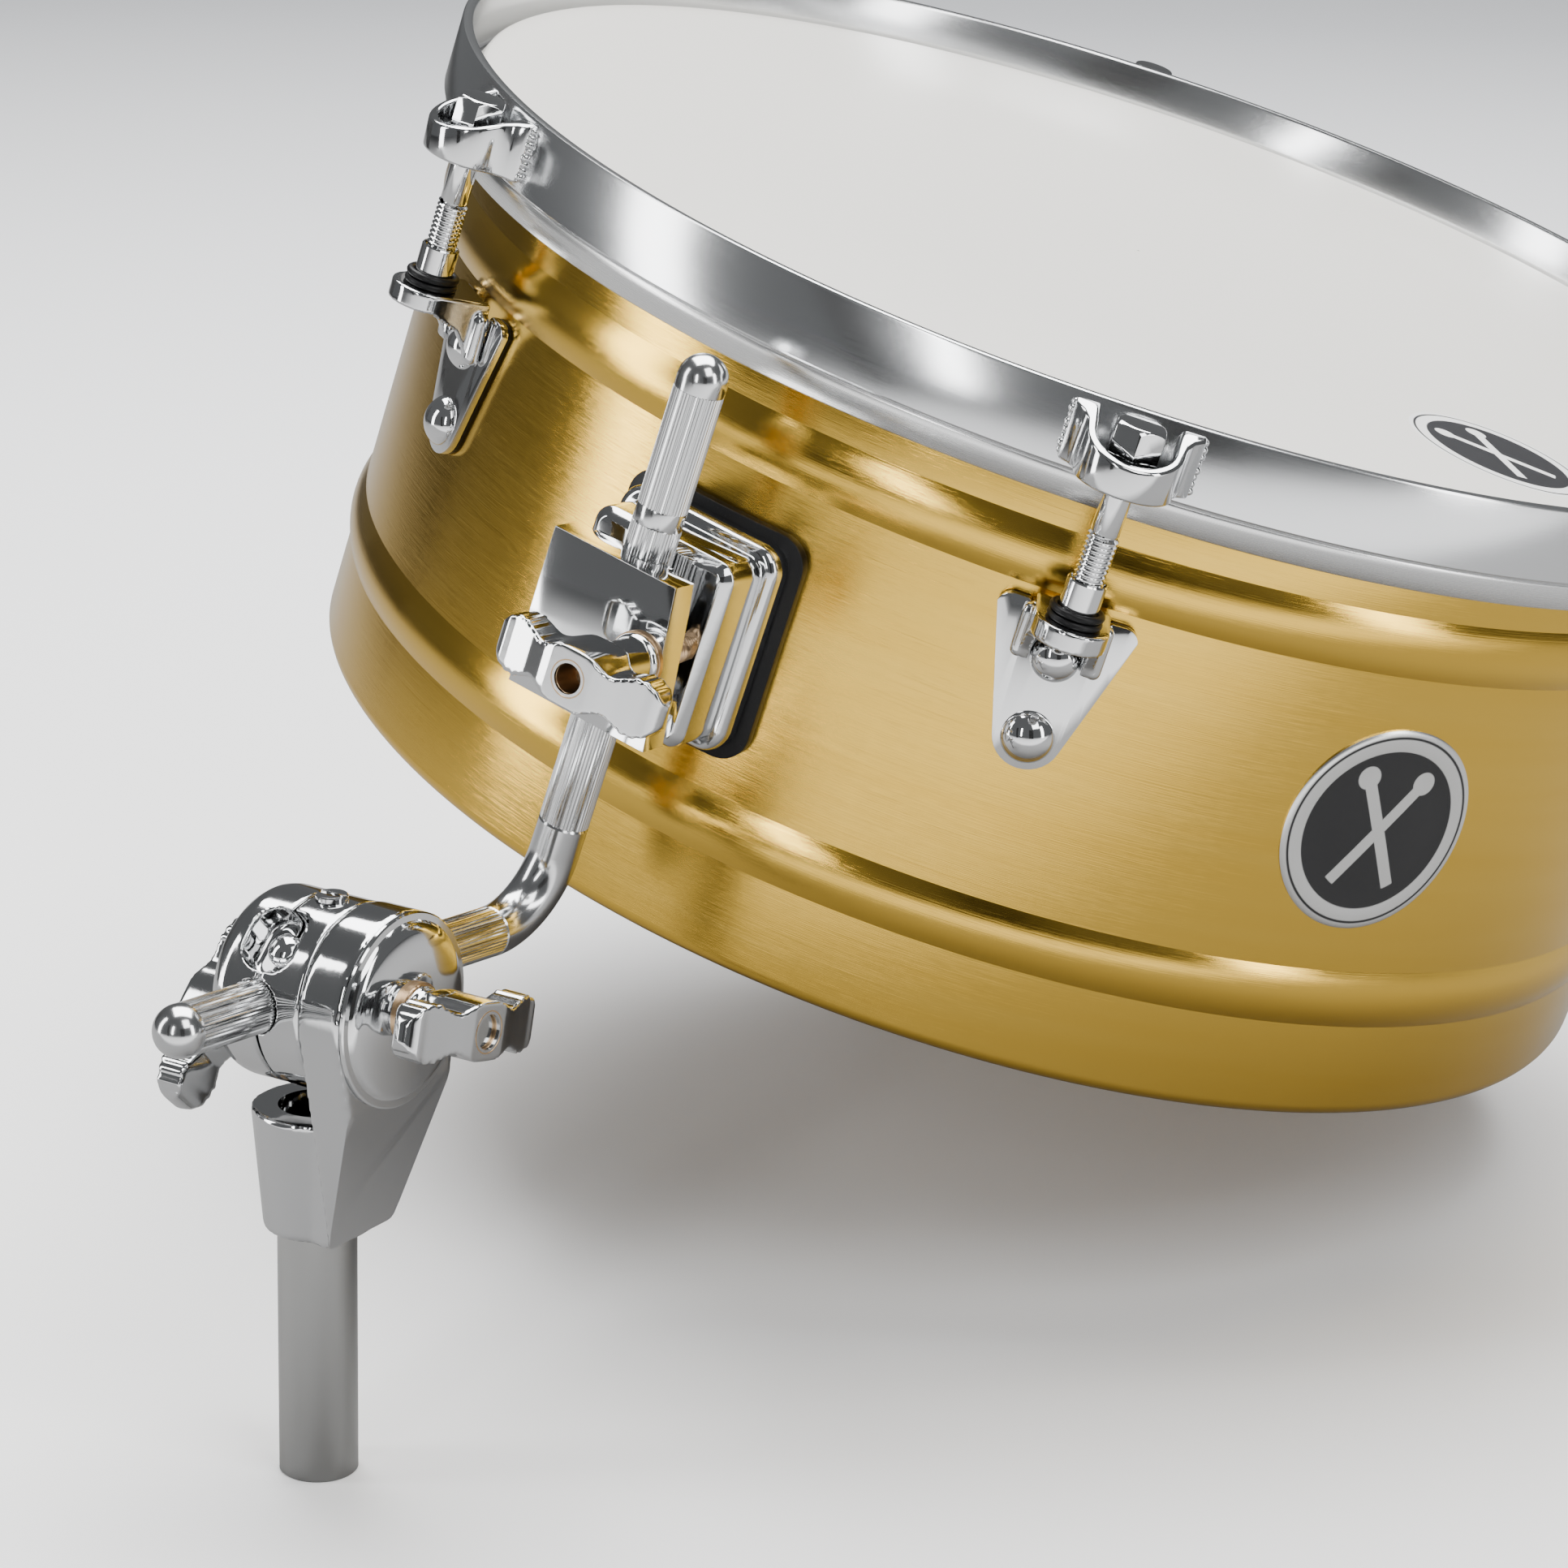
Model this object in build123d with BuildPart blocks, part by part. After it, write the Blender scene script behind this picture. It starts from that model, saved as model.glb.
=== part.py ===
"""A single-headed brass drum on its bracket, L-shaped rod, ratchet tilter and stand tube.

The frame is millimetres with +Z up. The stand tube stands along Z with its lower end at the
origin, and the tilter's hinge runs along X, straight above it. The drum hangs on the rod, and
its own plane, called drum here, has its origin at the middle of the hoop's top edge, its x
towards the bracket and its z along the drum's axis.
"""

import os
from math import cos, radians, sin, tan

from build123d import *

os.makedirs("parts", exist_ok=True)

# ---------------------------------------------------------------- pose of the mount at rest
tilter_height = 123.0  # the hinge, above the tube's lower end
arm_rise = 4.7  # the rod's lower arm climbs this much towards its free end, degrees
rod_roll = 15.7  # the rod is turned this much about its lower arm, degrees
drum_swing = 1.1  # the drum is turned this much about the rod's upper arm, degrees

# ---------------------------------------------------------------- drum shell
shell_radius = 187.8
shell_wall = 1.5
shell_top = -11.2  # the bearing edge, below the hoop's top
shell_bottom = -178.0
bead_height = 2.0
bead_half_width = 8.0
upper_bead = -44.5
lower_bead = -142.5
bottom_bend = 4.0  # outer radius of the inward roll at the open end
bottom_flange = 7.0  # how far that roll reaches in

# ---------------------------------------------------------------- head and hoops
film = 0.4
head_overhang = 0.5  # the flat of the head past the shell, before it turns down
hoop_height = 19.6
hoop_wall = 3.2
hoop_over = 9.3
hoop_radius = shell_radius + hoop_over  # outside
flesh_height = 8.1
flesh_radius = hoop_radius - 1.2
flesh_foot_radius = hoop_radius - 3.5
flesh_clear = 2.2  # between the shell and the flesh hoop
flesh_bore_radius = shell_radius + flesh_clear
flesh_groove = 5.0  # depth of the slot that holds the film
collar_inset = 1.0  # that slot's inner wall, from the flesh hoop's bore
collar_radius = flesh_bore_radius + collar_inset

# ---------------------------------------------------------------- lugs and tension rods
lug_count = 6
lug_phase = 27.8  # the first lug, round from the bracket, degrees
rod_stand = 7.9  # the tension rods' axes, past the counter hoop's outside
rod_circle = hoop_radius + rod_stand
tension_diameter = 7.94
shank_diameter = 7.3
thread_top = -30.0
tension_end = -56.5
hex_across = 12.0
hex_height = 12.3
hex_dome = 1.6
tension_washer = 1.2
washer_diameter = 14.5
ear_floor = 2.4
ear_wall = 2.3
ear_bore = 9.9  # inside radius of the cup
ear_bottom = -17.2
ear_front_drop = 8.0  # how much lower the cup's front is than its back
ear_flange = 3.6
ear_top = -1.4
plate_thickness = 2.8
plate_top = -55.0
plate_shoulder = -58.2
plate_half_top = 15.6
plate_half_shoulder = 17.7
plate_foot_radius = 8.8
lower_screw_height = -89.0
upper_screw_height = -67.4
notch_half = 9.6
notch_depth = 9.0
eye_top = -52.5
eye_thickness = 3.2
eye_half_width = 9.3
eye_reach = 10.0  # past the tension rod's axis
eye_lip = 5.0
gusset_thickness = 2.4
gusset_foot = -69.0
foot_bar = 3.2
barrel_diameter = 9.9
barrel_flange = 13.2
barrel_flange_height = 2.4
barrel_top = -41.6
o_ring_section = 1.9
lug_screw_head = 13.0
lug_screw_head_height = 3.6
lug_screw_shank = 5.0
lug_nut_across = 8.0
lug_nut_height = 4.0
lug_washer_diameter = 13.0
lug_washer_height = 1.2

# ---------------------------------------------------------------- bracket on the shell
bracket_height = -94.0  # its middle, below the hoop's top
gasket_thickness = 3.0
gasket_width = 53.0
gasket_length = 61.0
base_width = 48.0
base_length = 56.0
base_step = 6.5  # thickness of the wide tier
base_top_width = 42.0
base_top_length = 50.0
rod_off_shell = 30.2
rod_stand_off = shell_radius + rod_off_shell  # the rod's upper arm, from the drum's axis
base_gap = 5.0  # the base's face, short of the rod's axis
plate_front = 12.0  # the clamp plate's face, past the rod's axis
clamp_length = 41.5
clamp_left = -20.0
clamp_right_top = 16.5
clamp_right_bottom = 21.5
stud_offset = 12.6
stud_diameter = 7.0
stud_show = 13.0  # how far the stud stands past the clamp plate
wing_reach = 29.0  # the wing nut's outer face, past the clamp plate's
wing_span = 50.0
wing_height = 15.0
wing_thickness = 11.0
wing_stem = 12.0
wing_turn = 0.0
mount_screw_spread = 36.0
backing_thickness = 2.0

# ---------------------------------------------------------------- L-shaped rod
rod_diameter = 12.7
rod_reach = 87.9  # the hinge to the rod's corner
rod_tail = 55.4  # the hinge to the rod's free end
rod_rise = 152.8  # the corner to the upper end
rod_bend = 19.0
hoop_above_corner = 173.8
knurl_depth = 0.3
band_width = 4.0  # the plain band in the knurling
band_below_tip = 40.0
knurl_upper_end = 27.0  # where the upper knurling stops, above the corner
knurl_lower_start = 20.0  # where the lower knurling starts, past the corner

# ---------------------------------------------------------------- tilter and stand tube
tilter_radius = 23.0
body_right = 12.9
half_gap = 0.3
cheek_right = 24.8
cheek_radius = 23.4
cap_rim = -13.0
cap_crown = -16.0
ring_outer = 18.0
ring_inner = 9.0
ring_base = 1.9
tooth_height = 1.1
tooth_count = 24
tilt_bolt_diameter = 8.0
tilt_head_diameter = 14.0
tilt_head_start = 7.0
tilt_bolt_end = 48.5
spring_wire = 1.2
spring_radius = 5.7
cover_radius = 22.4
cover_step = 1.4
cover_dome_radius = 20.2
cover_crown = 2.6
brass_washer_diameter = 15.0
brass_washer_height = 1.4
rear_washer_diameter = 12.0
knob_end = 50.0
knob_span = 50.0
knob_height = 14.0
knob_thickness = 9.0
knob_turn = -13.0
rear_knob_end = -36.0
rear_knob_span = 50.0
rear_knob_turn = -47.0
rear_stem = 11.0
jaw_gap = 0.4  # each jaw's face, from the rod's axis
jaw_bolt_drop = 12.5  # the bolt that closes the jaws, below the hinge
jaw_bolt_diameter = 7.0
jaw_bolt_end = -35.0
jaw_head_diameter = 9.6
jaw_head_start = 7.4
pocket_angle = 48.0
pocket_floor = 15.5
pocket_width = 12.0
pocket_length = 14.0
button_stem = 5.4
button_stem_depth = 3.0
button_diameter = 8.4
button_height = 4.0
set_screw_diameter = 7.0
set_screw_height = 6.0
tube_diameter = 19.05
tube_wall = 1.5
socket_top = 29.0  # below the hinge
socket_bottom = 59.5  # below the hinge
socket_top_radius = 15.5
socket_foot_radius = 12.5
tube_seat = 8.0  # the tube's upper end, below the socket's rim
pin_diameter = 4.0
pin_above_rim = 10.0  # above the socket's lower rim
spigot_diameter = 18.0  # the tube's reduced upper end
spigot_show = 0.5  # how much of it stands below the socket
badge_width = 54.0
badge_length = 56.0
badge_thickness = 0.8
badge_angle = 57.5  # round from the bracket, degrees
badge_height = -94.0

# ---------------------------------------------------------------- clearances
shaft_clearance = 0.05
free_clearance = 0.3

# ---------------------------------------------------------------- planes that place the pieces
hinge_point = Vector(0, 0, tilter_height)
arm_out = Vector(0, -cos(radians(arm_rise)), sin(radians(arm_rise)))
arm_up = Vector(
    sin(radians(rod_roll)),
    sin(radians(arm_rise)) * cos(radians(rod_roll)),
    cos(radians(arm_rise)) * cos(radians(rod_roll)),
)
corner = hinge_point - arm_out * rod_reach
outward = arm_out.rotate(Axis((0, 0, 0), arm_up), drum_swing)
drum = Plane(
    origin=corner + arm_up * hoop_above_corner - outward * rod_stand_off,
    x_dir=outward,
    z_dir=arm_up,
)
drum_axis = Axis(drum.origin, drum.z_dir)
drum_section = Plane(drum.origin, x_dir=drum.x_dir, z_dir=-drum.y_dir)  # x out, y up the drum
tilter = Plane(origin=hinge_point, x_dir=(0, 1, 0), z_dir=(1, 0, 0))  # z along the hinge
tilter_section = Plane(origin=hinge_point, x_dir=(1, 0, 0), z_dir=(0, -1, 0))
hinge_axis = Axis(hinge_point, (1, 0, 0))
tube_axis = Axis((0, 0, 0), (0, 0, 1))


def facing(angle, radius, height):
    """A plane that looks outwards from the drum: x runs round it, y up it, z away from its axis."""
    out = drum.x_dir.rotate(Axis((0, 0, 0), drum.z_dir), angle)
    place = drum.origin + out * radius + drum.z_dir * height
    return Plane(place, x_dir=drum.z_dir.cross(out), z_dir=out)


def level(angle, radius, height):
    """A plane across the drum at one place round it: x away from the drum's axis, z up it."""
    out = drum.x_dir.rotate(Axis((0, 0, 0), drum.z_dir), angle)
    return Plane(drum.origin + out * radius + drum.z_dir * height, x_dir=out, z_dir=drum.z_dir)


def side(angle, height=0.0, offset=0.0):
    """A plane through the drum's axis at one place round it: x away from the axis, y up it."""
    out = drum.x_dir.rotate(Axis((0, 0, 0), drum.z_dir), angle)
    across = out.cross(drum.z_dir)
    return Plane(drum.origin + drum.z_dir * height + across * offset, x_dir=out, z_dir=across)


def turned(plane, angle):
    """The same plane, turned about its own z."""
    x_dir = plane.x_dir.rotate(Axis((0, 0, 0), plane.z_dir), angle)
    return Plane(plane.origin, x_dir=x_dir, z_dir=plane.z_dir)


def finish(builder, name):
    """Labels a finished piece and writes it."""
    builder.part.label = name
    export_step(builder.part, f"parts/{name}.step")


lug_angles = [lug_phase + step * 360 / lug_count for step in range(lug_count)]
lug_levels = [level(angle, rod_circle, 0) for angle in lug_angles]

# ================================================================ the drum

bead_points = [
    [(height + bead_half_width, 0), (height, bead_height), (height - bead_half_width, 0)]
    for height in (upper_bead, lower_bead)
]


def shell_line(inset):
    """The shell's side and rolled end, inset from its outer face, drawn downwards."""
    radius = shell_radius - inset
    start = (radius, shell_top)
    for bead in bead_points:
        top, crest, foot = [(radius + swell, height) for height, swell in bead]
        Line(start, top)
        ThreePointArc(top, crest, foot)
        start = foot
    bend = bottom_bend - inset
    Line(start, (radius, shell_bottom + bottom_bend))
    RadiusArc((radius, shell_bottom + bottom_bend), (radius - bend, shell_bottom + inset), bend)
    Line((radius - bend, shell_bottom + inset), (shell_radius - bottom_flange, shell_bottom + inset))


with BuildPart() as shell:
    with BuildSketch(drum_section):
        with BuildLine():
            shell_line(0)
            shell_line(shell_wall)
            Line((shell_radius, shell_top), (shell_radius - shell_wall, shell_top))
            flange_edge = shell_radius - bottom_flange
            Line((flange_edge, shell_bottom), (flange_edge, shell_bottom + shell_wall))
        make_face()
    revolve(axis=drum_axis)
    for height in (upper_screw_height, lower_screw_height):
        with Locations(*[facing(angle, shell_radius, height) for angle in lug_angles]):
            Hole(lug_screw_shank / 2, depth=2 * shell_wall)
    with Locations(facing(0, shell_radius, bracket_height)):
        with GridLocations(0, mount_screw_spread, 1, 2):
            Hole(lug_screw_shank / 2, depth=2 * shell_wall)
finish(shell, "shell")

with BuildPart() as drum_head:
    with BuildSketch(drum_section):
        flat_edge = shell_radius + head_overhang
        top = shell_top + film
        collar_top = -hoop_height + 1.5
        collar_end = -hoop_height - flesh_groove
        with BuildLine():
            Polyline(
                (0, top),
                (flat_edge, top),
                (collar_radius + film, collar_top),
                (collar_radius + film, collar_end),
                (collar_radius, collar_end),
                (collar_radius, collar_top - film / 2),
                (flat_edge - film / 2, shell_top),
                (0, shell_top),
                close=True,
            )
        make_face()
    revolve(axis=drum_axis)
finish(drum_head, "drum_head")

with BuildPart() as flesh_hoop:
    with BuildSketch(drum_section):
        flesh_foot = -hoop_height - flesh_height
        with BuildLine():
            Polyline(
                (flesh_bore_radius, -hoop_height),
                (flesh_radius, -hoop_height),
                (flesh_radius, -hoop_height - 2.4),
                (flesh_foot_radius, flesh_foot),
                (flesh_bore_radius, flesh_foot),
                close=True,
            )
        make_face()
    revolve(axis=drum_axis)
    top_face = faces().filter_by(Plane(drum.origin, z_dir=drum.z_dir)).sort_by(drum_axis)[-1]
    fillet(top_face.edges().sort_by(lambda e: e.radius)[-1], 1.2)
    with BuildSketch(level(0, 0, -hoop_height)):
        Circle(collar_radius + film)
        Circle(collar_radius, mode=Mode.SUBTRACT)
    extrude(amount=-flesh_groove, mode=Mode.SUBTRACT)
finish(flesh_hoop, "flesh_hoop")

with BuildPart() as counter_hoop:
    with BuildSketch(drum):
        Circle(hoop_radius)
        Circle(hoop_radius - hoop_wall, mode=Mode.SUBTRACT)
    extrude(amount=-hoop_height)
    chamfer(edges(), 0.5)
finish(counter_hoop, "counter_hoop")

# ---------------------------------------------------------------- six ears on the counter hoop
ear_outer = ear_bore + ear_wall

with BuildPart() as hoop_ears:
    with BuildSketch(*[level(angle, rod_circle, ear_bottom) for angle in lug_angles]):
        Circle(ear_outer)
        with Locations(((hoop_radius - rod_circle) / 2, 0)):
            Rectangle(rod_circle - hoop_radius, 2 * ear_outer)
        with Locations((hoop_radius - rod_circle + ear_flange / 2, 0)):
            Rectangle(ear_flange, 2 * (ear_outer + ear_flange))
    extrude(amount=ear_top - ear_bottom)
    with BuildSketch(*[level(angle, rod_circle, ear_bottom + ear_floor) for angle in lug_angles]):
        Circle(ear_bore)
        with Locations((-ear_bore, 0)):
            Rectangle(2 * ear_bore, 2 * ear_bore)
    extrude(amount=hoop_height, mode=Mode.SUBTRACT)
    with BuildSketch(*[side(angle) for angle in lug_angles]):
        with BuildLine():
            Polyline(
                (hoop_radius + ear_flange, ear_top + 1),
                (rod_circle + ear_outer + 1, ear_top + 1),
                (rod_circle + ear_outer + 1, ear_top - ear_front_drop),
                (rod_circle, ear_top - ear_front_drop / 2),
                (hoop_radius + ear_flange, ear_top),
                close=True,
            )
        make_face()
    extrude(amount=2 * ear_outer, both=True, mode=Mode.SUBTRACT)
    with BuildSketch(level(0, 0, 0)):
        Circle(hoop_radius)
    extrude(amount=-2 * hoop_height, mode=Mode.SUBTRACT)
    with Locations(*[level(angle, rod_circle, ear_bottom + ear_floor) for angle in lug_angles]):
        Hole(tension_diameter / 2 + free_clearance, depth=2 * ear_floor)
finish(hoop_ears, "hoop_ears")

# ---------------------------------------------------------------- lug plates
plate_face = shell_radius + plate_thickness

with BuildPart() as lug_plates:
    with BuildSketch(*[facing(angle, plate_face, 0) for angle in lug_angles]):
        with BuildLine():
            Polyline(
                (-notch_half, plate_top),
                (-plate_half_top, plate_top),
                (-plate_half_shoulder, plate_shoulder),
                (-plate_foot_radius, lower_screw_height - 1.0),
                (plate_foot_radius, lower_screw_height - 1.0),
                (plate_half_shoulder, plate_shoulder),
                (plate_half_top, plate_top),
                (notch_half, plate_top),
                (notch_half, plate_top - notch_depth),
                (-notch_half, plate_top - notch_depth),
                close=True,
            )
        make_face()
        with Locations((0, lower_screw_height)):
            Circle(plate_foot_radius)
        with Locations((0, lower_screw_height), (0, upper_screw_height)):
            Circle(lug_screw_shank / 2, mode=Mode.SUBTRACT)
    extrude(amount=-plate_thickness - 2)
    with BuildSketch(drum):
        Circle(shell_radius)
    extrude(amount=shell_bottom, mode=Mode.SUBTRACT)
finish(lug_plates, "lug_plates")

# ---------------------------------------------------------------- lug eyes
with BuildPart() as lug_eyes:
    eye_front = rod_circle + eye_reach
    with BuildSketch(*[level(angle, rod_circle, eye_top) for angle in lug_angles]):
        with BuildLine():
            Polyline(
                (plate_face - rod_circle, -eye_half_width),
                (eye_reach - 5, -eye_half_width),
                (eye_reach, -eye_half_width + 4),
                (eye_reach, eye_half_width - 4),
                (eye_reach - 5, eye_half_width),
                (plate_face - rod_circle, eye_half_width),
                close=True,
            )
        make_face()
    extrude(amount=gusset_foot - eye_top)
    with BuildSketch(*[side(angle) for angle in lug_angles]):
        with BuildLine():
            Polyline(
                (eye_front + 1, eye_top - eye_lip),
                (eye_front - 2, eye_top - eye_lip),
                (plate_face + foot_bar, gusset_foot),
                (plate_face + foot_bar, gusset_foot - 1),
                (eye_front + 1, gusset_foot - 1),
                close=True,
            )
        make_face()
    extrude(amount=2 * eye_half_width, both=True, mode=Mode.SUBTRACT)
    with BuildSketch(*[level(angle, rod_circle, eye_top - eye_thickness) for angle in lug_angles]):
        with Locations((plate_face - rod_circle, 0)):
            Rectangle(
                2 * (eye_reach - eye_thickness + rod_circle - plate_face),
                2 * (eye_half_width - gusset_thickness),
            )
    extrude(amount=gusset_foot - eye_top - 1, mode=Mode.SUBTRACT)
    with Locations(*[level(angle, rod_circle, eye_top) for angle in lug_angles]):
        Hole(barrel_diameter / 2, depth=eye_thickness)
finish(lug_eyes, "lug_eyes")

# ---------------------------------------------------------------- tension rods and what they run in
head_seat = ear_bottom + ear_floor + tension_washer

for number, rod_level in enumerate(lug_levels, start=1):
    with BuildPart() as tension_rod:
        with BuildSketch(rod_level.offset(head_seat)):
            RegularPolygon(hex_across / 2, 6, major_radius=False)
        extrude(amount=hex_height)
        with BuildSketch(rod_level.offset(head_seat + hex_height)):
            Circle(hex_across / 2 - 0.6)
        extrude(amount=hex_dome, taper=35)
        with BuildSketch(rod_level.offset(thread_top)):
            Circle(shank_diameter / 2)
        extrude(amount=head_seat - thread_top)
        with BuildSketch(rod_level.offset(tension_end)):
            Circle(tension_diameter / 2)
        extrude(amount=thread_top - tension_end)
    finish(tension_rod, f"tension_rod_{number}")

with BuildPart() as tension_washers:
    with BuildSketch(*[place.offset(ear_bottom + ear_floor) for place in lug_levels]):
        Circle(washer_diameter / 2)
        Circle(tension_diameter / 2 + free_clearance, mode=Mode.SUBTRACT)
    extrude(amount=tension_washer - free_clearance)
finish(tension_washers, "tension_washers")

with BuildPart() as barrel_nuts:
    flange_top = eye_top - eye_thickness
    with BuildSketch(*[place.offset(flange_top) for place in lug_levels]):
        Circle(barrel_diameter / 2)
    extrude(amount=barrel_top - flange_top)
    with BuildSketch(*[place.offset(flange_top) for place in lug_levels]):
        Circle(barrel_flange / 2)
    extrude(amount=-barrel_flange_height)
    with Locations(*[place.offset(barrel_top) for place in lug_levels]):
        Hole(tension_diameter / 2 + shaft_clearance, depth=barrel_top - tension_end + 3)
finish(barrel_nuts, "barrel_nuts")

with BuildPart() as o_rings:
    for turn in range(2):
        ring_height = eye_top + o_ring_section * (turn + 0.5)
        ring_radius = (barrel_diameter + o_ring_section) / 2 + shaft_clearance
        with Locations(*[place.offset(ring_height) for place in lug_levels]):
            Torus(ring_radius, o_ring_section / 2)
finish(o_rings, "o_rings")


def dome_screws(name, height, places, head, head_height, shank, shank_end):
    """Dome-headed screws at some planes that look outwards, whose heads seat at height."""
    with BuildPart() as screws:
        with BuildSketch(*[place.offset(height) for place in places]):
            Circle(head / 2)
        extrude(amount=head_height * 0.35)
        with BuildSketch(*[place.offset(height + head_height * 0.35) for place in places]):
            Circle(head / 2)
        extrude(amount=head_height * 0.65, taper=50)
        with BuildSketch(*[place.offset(height) for place in places]):
            Circle(shank / 2)
        extrude(amount=shank_end - height)
    finish(screws, name)


screw_end = -shell_wall - lug_washer_height - lug_nut_height - 1.5
upper_places = [facing(angle, shell_radius, upper_screw_height) for angle in lug_angles]
lower_places = [facing(angle, shell_radius, lower_screw_height) for angle in lug_angles]
for name, places in (("lug_upper_screws", upper_places), ("lug_lower_screws", lower_places)):
    dome_screws(
        name, plate_thickness, places, lug_screw_head, lug_screw_head_height, lug_screw_shank, screw_end
    )

# ---------------------------------------------------------------- what fastens the lugs inside
washer_seat = -shell_wall - 0.2

with BuildPart() as lug_washers:
    with BuildSketch(*[place.offset(washer_seat) for place in upper_places + lower_places]):
        Circle(lug_washer_diameter / 2)
        Circle(lug_screw_shank / 2, mode=Mode.SUBTRACT)
    extrude(amount=-lug_washer_height)
finish(lug_washers, "lug_washers")

with BuildPart() as lug_nuts:
    nut_seat = washer_seat - lug_washer_height
    with BuildSketch(*[place.offset(nut_seat) for place in upper_places + lower_places]):
        RegularPolygon(lug_nut_across / 2, 6, major_radius=False)
        Circle(lug_screw_shank / 2, mode=Mode.SUBTRACT)
    extrude(amount=-lug_nut_height)
finish(lug_nuts, "lug_nuts")

# ---------------------------------------------------------------- badge
with BuildPart() as badge:
    with BuildSketch(facing(badge_angle, shell_radius + badge_thickness, badge_height)):
        Ellipse(badge_width / 2, badge_length / 2)
    extrude(amount=-badge_width / 3)
    with BuildSketch(drum):
        Circle(2 * hoop_radius)
        Circle(shell_radius + badge_thickness, mode=Mode.SUBTRACT)
    extrude(amount=shell_bottom, mode=Mode.SUBTRACT)
    with BuildSketch(drum):
        Circle(shell_radius)
    extrude(amount=shell_bottom, mode=Mode.SUBTRACT)
finish(badge, "badge")

# ================================================================ the bracket
bracket = facing(0, 0, bracket_height)
base_face = rod_stand_off - base_gap
gasket_face = shell_radius + gasket_thickness

with BuildPart() as mount_gasket:
    with BuildSketch(bracket.offset(shell_radius - 4)):
        RectangleRounded(gasket_width, gasket_length, 7)
        with GridLocations(0, mount_screw_spread, 1, 2):
            Circle(lug_screw_shank / 2, mode=Mode.SUBTRACT)
    extrude(amount=gasket_thickness + 4)
    with BuildSketch(drum):
        Circle(2 * hoop_radius)
        Circle(gasket_face, mode=Mode.SUBTRACT)
    extrude(amount=shell_bottom, mode=Mode.SUBTRACT)
    with BuildSketch(drum):
        Circle(shell_radius)
    extrude(amount=shell_bottom, mode=Mode.SUBTRACT)
finish(mount_gasket, "mount_gasket")

with BuildPart() as mount_base:
    with BuildSketch(bracket.offset(gasket_face - 4)):
        RectangleRounded(base_width, base_length, 6)
    extrude(amount=base_step + 4)
    chamfer(faces().sort_by(Axis(bracket.origin, bracket.z_dir))[-1].edges(), 2.0)
    with BuildSketch(bracket.offset(gasket_face + base_step)):
        RectangleRounded(base_top_width, base_top_length, 4)
    extrude(amount=base_face - gasket_face - base_step)
    chamfer(faces().sort_by(Axis(bracket.origin, bracket.z_dir))[-1].edges(), 2.0)
    with BuildSketch(drum):
        Circle(gasket_face)
    extrude(amount=shell_bottom, mode=Mode.SUBTRACT)
    groove_apex = (rod_diameter / 2 + shaft_clearance) / sin(radians(45))
    with BuildSketch(level(0, rod_stand_off, 0)):
        with BuildLine():
            Polyline(
                (-groove_apex, 0), (1, groove_apex + 1), (1, -groove_apex - 1), close=True
            )
        make_face()
    extrude(amount=shell_bottom, mode=Mode.SUBTRACT)
    with Locations(bracket.offset(base_face)):
        with Locations((stud_offset, 0)):
            Hole(stud_diameter / 2, depth=base_gap + 10)
        with GridLocations(0, mount_screw_spread, 1, 2):
            Hole(lug_screw_shank / 2, depth=base_face - gasket_face + 8)
    with BuildSketch(bracket.offset(base_face - 8)):
        with Locations((-base_top_width / 2, 0)):
            Rectangle(6, 14)
    extrude(amount=8, mode=Mode.SUBTRACT)
finish(mount_base, "mount_base")

with BuildPart() as backing_plate:
    backing_face = shell_radius - shell_wall
    with BuildSketch(bracket.offset(backing_face - backing_thickness - 3)):
        RectangleRounded(base_top_width - 8, base_top_length, 4)
        with GridLocations(0, mount_screw_spread, 1, 2):
            Circle(lug_screw_shank / 2, mode=Mode.SUBTRACT)
    extrude(amount=backing_thickness + 3)
    with BuildSketch(drum):
        Circle(2 * hoop_radius)
        Circle(backing_face, mode=Mode.SUBTRACT)
    extrude(amount=shell_bottom, mode=Mode.SUBTRACT)
finish(backing_plate, "backing_plate")

screw_places = [
    facing(0, shell_radius, bracket_height + sign * mount_screw_spread / 2) for sign in (-1, 1)
]
backing_back = -shell_wall - backing_thickness - 3

with BuildPart() as mount_screws:
    with BuildSketch(*[place.offset(backing_back) for place in screw_places]):
        RegularPolygon(lug_nut_across / 2, 6, major_radius=False)
    extrude(amount=-lug_nut_height)
    with BuildSketch(*[place.offset(backing_back) for place in screw_places]):
        Circle(lug_screw_shank / 2)
    extrude(amount=gasket_thickness + base_step - backing_back)
finish(mount_screws, "mount_screws")

with BuildPart() as clamp_stud:
    with BuildSketch(bracket.offset(base_face - 10)):
        with Locations((stud_offset, 0)):
            Circle(stud_diameter / 2)
    extrude(amount=10 + base_gap + plate_front + stud_show)
finish(clamp_stud, "clamp_stud")

clamp_back = rod_stand_off + 0.8
clamp_face = rod_stand_off + plate_front

with BuildPart() as clamp_plate:
    with BuildSketch(bracket.offset(clamp_back)):
        with BuildLine():
            Polyline(
                (clamp_left, clamp_length / 2),
                (clamp_right_top, clamp_length / 2),
                (clamp_right_bottom, -clamp_length / 2),
                (clamp_left, -clamp_length / 2),
                close=True,
            )
        make_face()
    extrude(amount=clamp_face - clamp_back)
    chamfer(edges(), 0.8)
    with BuildSketch(level(0, rod_stand_off, 0)):
        Circle(rod_diameter / 2 + shaft_clearance)
    extrude(amount=shell_bottom, mode=Mode.SUBTRACT)
    with Locations(bracket.offset(clamp_face)):
        with Locations((stud_offset, 0)):
            Hole(stud_diameter / 2 + free_clearance, depth=2 * plate_front)
finish(clamp_plate, "clamp_plate")

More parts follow.
